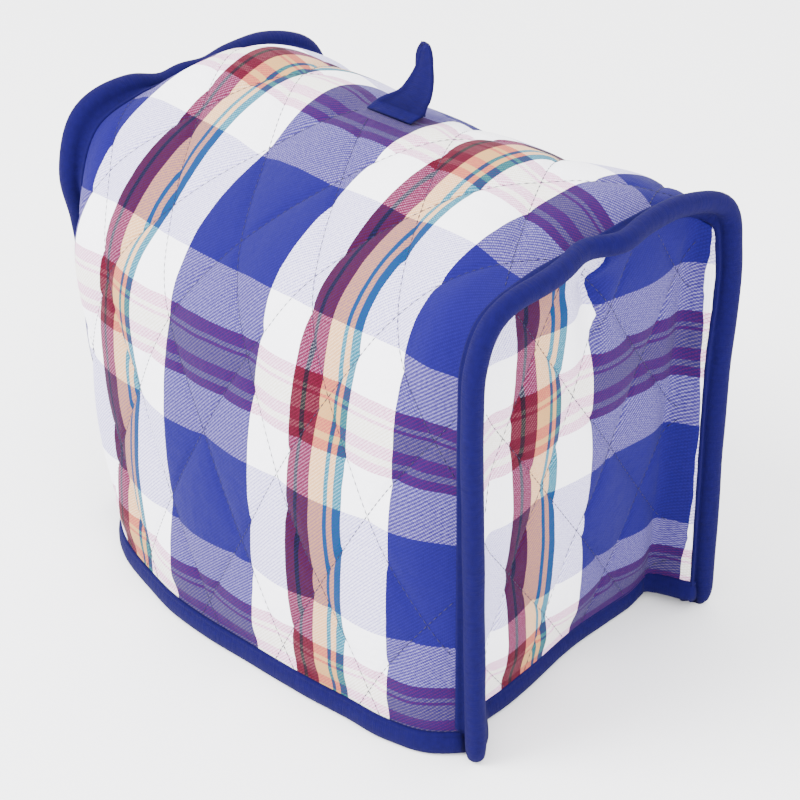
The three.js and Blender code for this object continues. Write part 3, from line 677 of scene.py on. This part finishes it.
def rim_of(skin):
    """Loop of points round an open skin, in the turn of its faces."""
    edges = {}
    for a, b, c in skin.tolist():
        edges.update({(a, b): True, (b, c): True, (c, a): True})
    after = {p: q for p, q in edges if (q, p) not in edges}
    start = next(iter(after))
    loop = [start]
    while after[loop[-1]] != start:
        loop.append(after[loop[-1]])
    return loop


# How far a sheet's edge stays inside the seam line, and its height inside the hem
WRAP_UNDER_SEAM = 1.8
SHEET_IN_HEM = 3.0
SWELL_CLEAR = 0.35  # over the hem band before the wrap swells
LEAST_CELL = 0.3  # narrowest cell beside an edge, in cells


def lattice(low, high, step, start):
    """Places at whole steps from a start, between two limits, the limits included."""
    first, last = (low - start) / step + LEAST_CELL, (high - start) / step - LEAST_CELL
    inner = np.arange(np.ceil(first), np.floor(last) + 0.5)
    places = np.concatenate([[low], start + inner * step, [high]])
    return places, np.concatenate([[inner[0] - 1], inner, [inner[-1] + 1]])


def cell_faces(index, across, along):
    """Two triangles for each cell of a grid of point numbers; split along the stitch lines."""
    faces = []
    for j in range(index.shape[1] - 1):
        for i in range(index.shape[0] - 1):
            a, b, c, d = index[i, j], index[i + 1, j], index[i + 1, j + 1], index[i, j + 1]
            if (across[i] + along[j] + 1) % CELLS == 0:
                pair = ((a, b, d), (b, c, d))
            else:
                pair = ((a, b, c), (a, c, d))
            faces.extend(f for f in pair if len(set(f)) == 3)
    return np.array(faces)


def wrap_piece():
    """The wrap as one quilted sheet, its mesh laid along the stitch lines."""
    wide, tall, from_u, from_s, _ = WRAP_QUILT
    us, across = lattice(WRAP_LEFT + WRAP_UNDER_SEAM, WRAP_RIGHT - WRAP_UNDER_SEAM,
                         wide / CELLS, from_u)
    ss, along = lattice(SHEET_IN_HEM, WRAP_LENGTH - SHEET_IN_HEM, tall / CELLS, from_s)
    u, s = np.meshgrid(us, ss, indexing="ij")
    low = HEM_HIGH + SWELL_CLEAR
    edge = np.minimum(np.minimum(u - LEFT.wrap_edge, RIGHT.wrap_edge - u),
                      np.minimum(s - low, WRAP_LENGTH - low - s))
    full = (fullness(WRAP_QUILT, u, s, WRAP_SEED) * ease(edge, 0, FLAT_EDGE)
            * ease(loop_reach(u, s), 0, FLAT_EDGE))
    skin = cell_faces(np.arange(u.size).reshape(u.shape), across, along)
    uv = np.stack([stretch(u, WRAP_WARP), stretch(s, WRAP_WEFT)], axis=-1)
    return sheet_piece("wrap_cloth", wrap_base(u, s), wrap_outward(u, s), full, skin, uv, "wrap_panel")


def loop_reach(u, s):
    """Distance from what the loop covers."""
    left, right = LOOP_OUTLINE[0, 1], LOOP_OUTLINE[0, 2]
    beside = np.maximum(np.maximum(left - u, u - right), 0)
    past = np.maximum(np.abs(s - WRAP_LENGTH / 2 - LOOP_Y) - LOOP_FOOT, 0)
    return np.hypot(beside, past)


END_TO_SEAM = 6.7  # from the seam line to where the panel's swelling starts
END_UNDER_SEAM = 3.0  # the sheet's edge inside the seam line at the sides
END_UNDER_TOP = 1.9  # and over the top
CORNER_CUT = 0.3
TOP_BAND = 8  # rows this far under the top are evenly spaced
TOP_BEND = 14  # and rows this far under it bend up to the seam
REACH_CELLS = 60  # columns to each side of the lattice's middle


def end_inside(end, y, z):
    """How far a place on an end panel is inside its seam."""
    front, back = end.at_height(z, False)[1], end.at_height(z, True)[1]
    return np.minimum(np.minimum(y - front, back - y), end.height(y) - z) - END_TO_SEAM


def end_sides(end, height, top):
    """Where an end sheet's front and back edge lie at a height."""
    rim = min(height, top - END_UNDER_TOP / 2)
    above = min(rim + CORNER_CUT, top)
    front = max(end.at_height(rim, False)[1], end.at_height(above, False)[1])
    back = min(end.at_height(rim, True)[1], end.at_height(above, True)[1])
    return front + END_UNDER_SEAM, back - END_UNDER_SEAM


def end_piece(name, end, node):
    """An end panel as one quilted sheet; cells past its edges close up to nothing."""
    top = float(end.top) - END_UNDER_TOP
    wide, tall, from_y, from_z, lean = END_QUILT
    step = wide / CELLS
    zs, along = lattice(SHEET_IN_HEM, top - TOP_BAND, tall / CELLS, from_z)
    more = int(np.ceil(TOP_BAND * CELLS / tall))
    zs = np.concatenate([zs[:-1], np.linspace(zs[-2], top, more + 1)[1:]])
    along = np.concatenate([along[:-1], along[-2] + 1 + np.arange(more)])
    reach = np.arange(-REACH_CELLS, REACH_CELLS + 1)
    y = (from_y + reach * step)[:, None] - lean * (zs - LEAN_FROM)[None]
    z = np.repeat(zs[None], len(reach), axis=0)
    index = np.arange(y.size).reshape(y.shape)
    for k, height in enumerate(zs):
        front, back = end_sides(end, height, top)
        first = np.searchsorted(y[:, k], front + LEAST_CELL) - 1
        last = np.searchsorted(y[:, k], back - LEAST_CELL)
        y[:first + 1, k] = front
        y[last:, k] = back
        index[:first + 1, k] = index[first, k]
        index[last:, k] = index[last, k]
    lift = ease(z, top - TOP_BEND, top)
    z = z + lift * (end.height(y) - END_UNDER_TOP - top)
    skin = cell_faces(index, reach, along)
    used = np.unique(skin)
    renumber = np.zeros(index.size, int)
    renumber[used] = np.arange(len(used))
    skin = renumber[skin]
    y, z = y.ravel()[used], z.ravel()[used]
    if end.sign < 0:
        skin = skin[:, ::-1]
    edge = np.minimum(end_inside(end, y, z), z - HEM_HIGH)
    full = fullness(END_QUILT, y, z, END_SEED + end.sign) * ease(edge, 0, FLAT_EDGE)
    bend = ((tuck_line(z) - BEND_MIDDLE_Y) * ease(z, BEND_START_Z, BEND_FULL_Z)
            * np.exp(-((y - tuck_line(z)) / BEND_WIDE) ** 2))
    uv = np.stack([stretch(y - bend, END_WARP), stretch(z, END_WEFT)], axis=-1)
    return sheet_piece(name, end.base(y, z), end.outward(y, z), full, skin, uv, node)


def swept(rings):
    """Points and faces of a solid swept along rings of points, [rings, sides, 3]."""
    count, sides = rings.shape[:2]
    r, k = np.meshgrid(np.arange(count - 1), np.arange(sides), indexing="ij")
    a, b = r * sides + k, r * sides + (k + 1) % sides
    faces = np.concatenate([
        np.stack([a, b, b + sides], axis=-1).reshape(-1, 3),
        np.stack([a, b + sides, a + sides], axis=-1).reshape(-1, 3)])
    points = rings.reshape(-1, 3)
    centres = np.stack([rings[0].mean(0), rings[-1].mean(0)])
    first, last = len(points), len(points) + 1
    k = np.arange(sides)
    after = (k + 1) % sides
    far = (count - 1) * sides
    caps = np.concatenate([
        np.stack([np.full(sides, first), after, k], axis=1),
        np.stack([np.full(sides, last), far + k, far + after], axis=1)])
    return np.concatenate([points, centres]), np.concatenate([faces, caps])


def ring_uv(rings):
    """Cloth measure round and along a swept solid."""
    round_steps = np.linalg.norm(rings - np.roll(rings, 1, axis=1), axis=-1)
    across = np.cumsum(round_steps, axis=1)
    along_steps = np.linalg.norm(np.diff(rings.mean(1), axis=0), axis=-1)
    along = np.concatenate([[0], np.cumsum(along_steps)])[:, None] + np.zeros_like(across)
    uv = np.stack([across, along], axis=-1).reshape(-1, 2)
    return np.concatenate([uv, uv[:1], uv[-1:]])


def binding_piece(name, rings, node):
    points, faces = swept(rings)
    return make_piece(name, points, faces, ring_uv(rings), BINDING, [node])


SEAM_PROBE = 6.0  # a cloth's direction beside the seam is taken over this distance
ACROSS_ROUNDS = 4  # steps that bring a place across the seam square to it


def seam_frames(end, s):
    """Seam line at s, its directions, and ways onto the wrap and the end panel beside it."""
    point = wrap_base(end.u, s)
    along = unit(wrap_base(end.u, s + 1) - wrap_base(end.u, s - 1))
    sign = np.full(len(s), float(end.sign))
    stand = unit(np.stack([sign, -along[:, 2], along[:, 1]], axis=-1))
    side = unit(np.cross(along, stand) * -end.sign)
    inward = unit(np.stack([0 * sign, along[:, 2], -along[:, 1]], axis=-1))

    def across(u):
        at = s.copy()
        for _ in range(ACROSS_ROUNDS):
            at = at - ((wrap_base(u, at) - point) * along).sum(-1)
        return wrap_base(u, at) - point

    into_wrap = unit(across(end.u - end.sign * SEAM_PROBE))

    def on_wrap(reach):
        return point + into_wrap * reach

    def on_end(reach):
        place = point + inward * reach
        return end.base(place[:, 1], place[:, 2])

    into_end = unit(on_end(SEAM_PROBE) - point)
    to_wrap = (across(end.wrap_edge) * into_wrap).sum(-1)[:, None]
    off_wrap = unit(np.cross(into_wrap, along) * -end.sign)
    off_end = unit(np.cross(into_end, along) * end.sign)
    return point, stand, side, on_wrap, off_wrap, to_wrap, on_end, off_end


def sway(table, s, key):
    """Sum of a sway table's soft bumps, of one of its last two columns."""
    return (table[:, key] * np.exp(-(((s[:, None] - table[:, 0]) / table[:, 1]) ** 2))).sum(-1)


SEAM_RINGS = 288
RIDGE_SIDES = 21
RIDGE_TURN = 140  # the ridge's outline goes round this far from its top on each side
RIDGE_MIDDLE = 5.5  # from the seam line to its middle
RIDGE_HIGH = 5.2  # from there to its top
RIDGE_HALF = 4.55
RIDGE_UNEVEN, RIDGE_UNEVEN_LENGTH = 0.035, 9
RIDGE_LUMP, RIDGE_LUMP_LENGTH = 0.075, 5
# Ridge's foot: rounded over this length, to this share of its height, middle and width
FOOT_ROUND = 12.0
FOOT_HIGH, FOOT_MIDDLE, FOOT_WIDE = 0.45, 0.72, 0.3
FOOT_TUCK, FOOT_WRAP_TUCK, FOOT_END_TUCK = 4, 2, 5
# Roots of the binding, and its lips over the wrap and over an end panel
WRAP_ROOT, END_ROOT = 0.8, 3.0
BINDING_LIP, HEM_LIP, END_LIP = 2.3, 0.4, 0.9
LIP_BEND = 0.6  # share of the way to the lip's edge, where it bends down


def binding_side(on_cloth, off_cloth, root, lip, bend):
    """Outline of the binding on one side of the seam, from inside the cover to the ridge."""
    return [
        on_cloth(root - 0.9) - off_cloth * 2.2,
        on_cloth(root + 0.4) - off_cloth * 1.2,
        on_cloth(root + lip) - off_cloth * 0.5,
        on_cloth(root + lip) + off_cloth * 0.6,
        bend + off_cloth * 1.05,
        on_cloth(root + 0.2) + off_cloth * 0.9,
    ]


def seam_piece(name, end, node):
    """Binding of one seam: a plump ridge along it with its roots on the cloth beside it."""
    s = np.linspace(0, WRAP_LENGTH, SEAM_RINGS)
    point, stand, side, on_wrap, off_wrap, to_wrap, on_end, off_end = seam_frames(end, s)
    swing = (side * sway(end.sway, s, 2)[:, None] + stand * sway(end.sway, s, 3)[:, None])
    edge = np.minimum(s, WRAP_LENGTH - s)
    round_off = np.clip(1 - edge / FOOT_ROUND, 0, 1)
    foot = FOOT_HIGH + (1 - FOOT_HIGH) * np.sqrt(1 - round_off ** 2)
    middle = RIDGE_MIDDLE * (FOOT_MIDDLE + (1 - FOOT_MIDDLE) * foot)
    plump = 1 + RIDGE_UNEVEN * ripple(s / RIDGE_UNEVEN_LENGTH, 0 * s, RIDGE_SEED + end.sign)
    lumpy = RIDGE_LUMP * ripple(s / RIDGE_LUMP_LENGTH, 0 * s, LUMP_SEED + end.sign)
    high = RIDGE_HIGH * plump + lumpy
    half = RIDGE_HALF * plump * (FOOT_WIDE + (1 - FOOT_WIDE) * foot)
    up = np.array([0.0, 0.0, 1.0])
    ridge = [point + swing
             + stand * (middle + high * np.cos(turn) * foot)[:, None]
             + side * (half * np.sin(turn) + lumpy)[:, None]
             + up * (FOOT_TUCK * max(-np.cos(turn), 0) * round_off)[:, None]
             for turn in np.radians(np.linspace(RIDGE_TURN, -RIDGE_TURN, RIDGE_SIDES))]
    lip = np.where(edge > HEM_HIGH + 1, BINDING_LIP, HEM_LIP)[:, None]
    wrap_root = to_wrap - WRAP_ROOT
    half_wrap = binding_side(on_wrap, off_wrap, wrap_root, lip, on_wrap(wrap_root + lip * LIP_BEND))
    end_bend = on_end(END_ROOT + 0.2) * (1 - LIP_BEND) + on_end(END_ROOT + END_LIP) * LIP_BEND
    half_end = binding_side(on_end, off_end, END_ROOT, END_LIP, end_bend)
    rings = np.stack(half_wrap + ridge + half_end[::-1], axis=1)
    rings[..., 2] = np.maximum(rings[..., 2], 0)
    rings[[0, -1], :, 2] = 0
    # the foot's inner corners are tucked up behind the hem
    rings[:, :len(half_wrap), 2] += FOOT_WRAP_TUCK * round_off[:, None]
    rings[:, -len(half_end):, 2] += FOOT_END_TUCK * round_off[:, None]
    if end.sign < 0:
        rings = rings[:, ::-1]
    return binding_piece(name, rings, node)


# Outline of the folded hem band: out from the sheet's outer face, and height
HEM_OUTLINE = np.array([
    [0.2, 11.2], [1.0, 10.9], [1.35, 10.1], [1.05, 9.2], [1.75, 8.0], [2.2, 5.6], [2.25, 3.4],
    [1.9, 1.5], [1.2, 0.5], [0.3, 0.0], [-3.0, 0.0], [-3.9, 0.5], [-4.6, 2.0], [-4.9, 4.5],
    [-4.7, 7.5], [-4.0, 9.2], [-4.2, 10.2], [-3.8, 10.9], [-3.0, 11.2], [-1.4, 10.6],
])
HEM_UNEVEN, HEM_UNEVEN_LENGTH = 0.10, 7
HEM_WAVE, HEM_WAVE_LENGTH = 0.35, 9  # of its upper edge
HEM_WAVE_FROM, HEM_WAVE_FULL = 5, 10
WRAP_HEM_STEPS, END_HEM_STEPS = 150, 84
WRAP_HEM_PAST = 1.5  # past the edge of the wrap that shows
END_HEM_FRONT, END_HEM_BACK = 3.0, 2.2  # ends this far inside the seams
SLOPE_HEIGHT = 2  # where an end panel's direction over its hem is taken


def hem_piece(name, base, out, node, seed):
    """Band folded over the lower edge, along points of the edge."""
    length = np.concatenate([[0], np.cumsum(np.linalg.norm(np.diff(base, axis=0), axis=-1))])
    plump = 1 + HEM_UNEVEN * ripple(length / HEM_UNEVEN_LENGTH, 0 * length, seed)
    top = HEM_WAVE * ripple(length / HEM_WAVE_LENGTH, 0 * length, seed + 1)
    v, z = HEM_OUTLINE[:, 0], HEM_OUTLINE[:, 1]
    middle = -SHEET / 2
    spread = middle + (v - middle)[None] * plump[:, None]
    rings = base[:, None] + out[:, None] * spread[..., None]
    wave = top[:, None] * ease(z, HEM_WAVE_FROM, HEM_WAVE_FULL)[None]
    rings[..., 2] = base[:, None, 2] + z[None] + wave
    return binding_piece(name, rings, node)


def level(v):
    """Level part of a direction."""
    return unit(v * [1, 1, 0])


def wrap_hem_piece(name, back, node, seed):
    u = np.linspace(LEFT.wrap_edge - WRAP_HEM_PAST, RIGHT.wrap_edge + WRAP_HEM_PAST, WRAP_HEM_STEPS)
    if back:
        u = u[::-1]
    s = np.full(len(u), WRAP_LENGTH if back else 0.0)
    return hem_piece(name, wrap_base(u, s), level(wrap_outward(u, s)), node, seed)


def end_hem_piece(name, end, node, seed):
    front, back = end.at_height(0.0, False)[1], end.at_height(0.0, True)[1]
    y = np.linspace(front + END_HEM_FRONT, back - END_HEM_BACK, END_HEM_STEPS)
    if end.sign < 0:
        y = y[::-1]
    out = level(end.outward(y, 0 * y + SLOPE_HEIGHT))
    return hem_piece(name, end.base(y, 0 * y), out, node, seed)


# Section of the loop's strip: share of its width, and how far off its middle
STRIP = np.array([
    [0.0, -0.3], [0.0, 0.3], [0.03, 0.65], [0.1, 0.8], [0.14, 0.6], [0.3, 0.9], [0.5, 1.0],
    [0.7, 0.9], [0.86, 0.6], [0.9, 0.8], [0.97, 0.65], [1.0, 0.3], [1.0, -0.3], [0.97, -0.6],
    [0.75, -0.65], [0.5, -0.65], [0.25, -0.65], [0.03, -0.6],
])
LEAF_STEPS, OVER_STEPS, OVER_TURN = 19, 7, 70


def loop_piece():
    """Strip folded in half and drawn to a point, both leaves sewn down on the crown."""
    middle = (LOOP_OUTLINE[0, 1] + LOOP_OUTLINE[0, 2]) / 2
    seat = float(wrap_base(np.array(middle), np.array(WRAP_LENGTH / 2))[2]) + LOOP_LIFT
    half = LOOP_HALF
    # path of the strip, y and z: flap, front leaf, over the tip, back leaf, flap
    t = np.linspace(0, 1, LEAF_STEPS)
    leaf_y = half + LOOP_BELLY * np.sin(np.pi * t) * (1 - t)
    leaf_z = LOOP_LEAF_START + t * (LOOP_TIP - LOOP_LEAF_START - LOOP_LEAF_STOP)
    climb = np.stack([leaf_y, leaf_z], axis=1)
    turn = np.radians(np.linspace(OVER_TURN, -OVER_TURN, OVER_STEPS))
    tip_z = LOOP_TIP - LOOP_LEAF_STOP + LOOP_TIP_ROUND * np.cos(turn)
    over = np.stack([half * np.sin(turn), tip_z], axis=1)
    foot = np.array([[LOOP_FOOT, -1.3], [3.0, -0.5], [1.1, 0.5], [0.1, 1.0]]) + [half, 0]
    heel = np.array([[LOOP_HEEL, -1.6], [2.4, -0.8], [0.9, 0.2]]) + [half, 0]
    front = np.concatenate([foot, climb, over]) * [-1, 1]
    path = np.concatenate([front, climb[::-1], heel[::-1]])
    along = np.gradient(path, axis=0)
    along /= np.linalg.norm(along, axis=1, keepdims=True)
    off = np.stack([-along[:, 1], along[:, 0]], axis=1)
    high = np.clip(path[:, 1], 0, LOOP_TIP)
    behind = ease(path[:, 0], -LOOP_BETWEEN, LOOP_BETWEEN)
    left = column(LOOP_OUTLINE[:, 0], LOOP_OUTLINE[:, 1], high)
    left -= LOOP_LEFT_SHIFT * behind * ease(high, LOOP_SHIFT_START, LOOP_SHIFT_FULL)
    right = column(LOOP_OUTLINE[:, 0], LOOP_OUTLINE[:, 2], high) - LOOP_RIGHT_SHIFT * behind
    x = left[:, None] + (right - left)[:, None] * STRIP[None, :, 0]
    across = off[:, None] * STRIP[None, :, 1:2]
    rings = np.stack([x, LOOP_MIDDLE + path[:, None, 0] + across[..., 0],
                      seat + path[:, None, 1] + across[..., 1]], axis=-1)
    return binding_piece("hanging_loop_strip", rings, "hanging_loop")


STITCH_PITCH = 3.2
STITCH_LONG = 3.2
STITCH_THICK = 0.5
STITCH_UP, STITCH_ROUND, STITCH_DIP = 0.12, 0.2, 0.1
STITCH_CLEAR = 1.5  # of a hem, a seam and the loop
SEAM_CLEAR = 2.5  # of the seam bindings on the wrap
STITCH_UNDER_TOP = 2
END_HALF = 80  # y past both seams of an end panel


def stitch_places(quilt, low_a, high_a, low_b, high_b):
    """Middles of the quilting stitches in a rectangle, and how far each slants."""
    wide, tall, from_a, from_b, lean = quilt
    places = []
    for way in (1, -1):
        slant = way * wide / tall - lean
        step = STITCH_PITCH / np.hypot(slant, 1)
        count = int((high_a - low_a + abs(slant) * (high_b - low_b)) / wide) + 4
        for k in range(-count, count + 1):
            along = np.arange(low_b, high_b, step)
            across = (from_a + k * wide + way * wide / tall * (along - from_b)
                      - lean * (along - LEAN_FROM))
            keep = (across > low_a) & (across < high_a)
            places.append(np.stack([across[keep], along[keep], np.full(keep.sum(), slant)], axis=1))
    return np.concatenate(places)


def stitch_piece(name, base, out_of, places):
    """Small spindles of thread half sunk in the cloth."""
    def on_cloth(a, b):
        return base(a, b) + out_of(a, b) * STITCH_UP

    a, b, slant = places.T
    db = STITCH_LONG / 2 / np.hypot(slant, 1)
    da = slant * db
    out = out_of(a, b)
    middle, tip, tail = on_cloth(a, b), on_cloth(a + da, b + db), on_cloth(a - da, b - db)
    along = unit(tip - tail)
    side = unit(np.cross(along, out))
    half = STITCH_THICK / 2
    ring = [middle + side * half * x + out * half * (y + STITCH_ROUND)
            for x, y in ((1, 0), (0, 1), (-1, 0), (0, -1))]
    corners = np.stack([tail - out * STITCH_DIP, *ring, tip - out * STITCH_DIP], axis=1)
    each = corners.shape[1]
    pattern = []
    for k in range(4):
        here, after = 1 + k, 1 + (k + 1) % 4
        pattern += [(0, after, here), (each - 1, here, after)]
    first = np.arange(len(places))[:, None, None] * each
    faces = (first + np.array(pattern)[None]).reshape(-1, 3)
    along_uv = np.array([[0, 0], [0, 1], [1, 1], [0, 1], [1, 1], [0, 2]])
    uv = np.repeat(places[:, :2], each, axis=0) + np.tile(along_uv, (len(places), 1))
    return make_piece(name, corners.reshape(-1, 3), faces, uv, THREAD)


def wrap_stitches():
    low = HEM_HIGH + STITCH_CLEAR
    places = stitch_places(WRAP_QUILT, LEFT.wrap_edge + SEAM_CLEAR, RIGHT.wrap_edge - SEAM_CLEAR,
                           low, WRAP_LENGTH - low)
    places = places[loop_reach(places[:, 0], places[:, 1]) > STITCH_CLEAR]
    return stitch_piece("quilting_wrap", wrap_base, wrap_outward, places)


def end_stitches(name, end):
    places = stitch_places(END_QUILT, -END_HALF, END_HALF, HEM_HIGH + STITCH_CLEAR,
                           float(end.top) - END_TO_SEAM - STITCH_UNDER_TOP)
    places = places[end_inside(end, places[:, 0], places[:, 1]) > STITCH_CLEAR]
    return stitch_piece(name, end.base, end.outward, places)


wrap = wrap_piece()
end_right = end_piece("end_cloth_right", RIGHT, "end_panel_right")
end_left = end_piece("end_cloth_left", LEFT, "end_panel_left")
seam_right = seam_piece("seam_piping_right", RIGHT, "seam_binding_right")
seam_left = seam_piece("seam_piping_left", LEFT, "seam_binding_left")
hem_front = wrap_hem_piece("hem_band_front", False, "hem_binding_front", 41)
hem_back = wrap_hem_piece("hem_band_back", True, "hem_binding_back", 43)
hem_right = end_hem_piece("hem_band_right", RIGHT, "hem_binding_right", 45)
hem_left = end_hem_piece("hem_band_left", LEFT, "hem_binding_left", 47)
loop = loop_piece()
quilting = [wrap_stitches(), end_stitches("quilting_right", RIGHT), end_stitches("quilting_left", LEFT)]


FLOOR_HALF = 6.0
FLOOR_Z = -0.0004
FLOOR_COLOUR = (0xF4, 0xF4, 0xF6)


def add_floor():
    mesh = bpy.data.meshes.new("floor")
    square = [(-1, -1), (1, -1), (1, 1), (-1, 1)]
    corners = [(x * FLOOR_HALF, y * FLOOR_HALF, FLOOR_Z) for x, y in square]
    mesh.from_pydata(corners, [], [(0, 1, 2, 3)])
    mesh.materials.append(Nodes("pale floor").finish(linear(FLOOR_COLOUR), roughness=0.9))
    floor = new_object("floor", mesh)


def area_light(name, place, target, size, power):
    light = bpy.data.lights.new(name, "AREA")
    light.shape = "DISK"
    light.size = size
    light.energy = power
    lamp = new_object(name, light)
    back = unit(np.array(place, float) - np.array(target, float))
    right = unit(np.cross([0, 0, 1], back))
    up = np.cross(back, right)
    lamp.matrix_world = Matrix([[right[k], up[k], back[k], place[k]] for k in range(3)]
                               + [[0, 0, 0, 1]])


WORLD_LIGHT = 3.7


def add_light():
    world = bpy.data.worlds.new("studio")
    world.use_nodes = True
    background = next(n for n in world.node_tree.nodes if n.type == "BACKGROUND")
    background.inputs[0].default_value = (1.0, 1.0, 1.0, 1.0)
    background.inputs[1].default_value = WORLD_LIGHT
    bpy.context.scene.world = world
    area_light("key", place=(-0.7, -1.5, 1.7), target=(0, 0, 0.1), size=1.4, power=118)
    area_light("fill", place=(1.9, -0.6, 1.0), target=(0, 0, 0.1), size=1.6, power=38)


# The photo's viewpoint: place in metres, azimuth, elevation and roll in degrees, lens in mm
EYE = (0.6054654, -0.5018157, 0.5319)
AZIMUTH, ELEVATION, ROLL = 49.85, 29.41, 2.135
LENS = 85.5


def add_camera():
    a, e, r = np.radians([AZIMUTH, ELEVATION, ROLL])
    ahead = np.array([-np.sin(a) * np.cos(e), np.cos(a) * np.cos(e), -np.sin(e)])
    right = np.array([np.cos(a), np.sin(a), 0.0])
    down = np.cross(ahead, right)
    right, down = np.cos(r) * right + np.sin(r) * down, -np.sin(r) * right + np.cos(r) * down
    data = bpy.data.cameras.new("camera")
    data.lens = LENS
    data.sensor_width = 36.0
    data.clip_start = 0.01
    camera = new_object("camera", data)
    camera.matrix_world = Matrix([[right[k], -down[k], -ahead[k], EYE[k]] for k in range(3)]
                                 + [[0, 0, 0, 1]])
    bpy.context.scene.camera = camera


add_floor()
add_light()
add_camera()
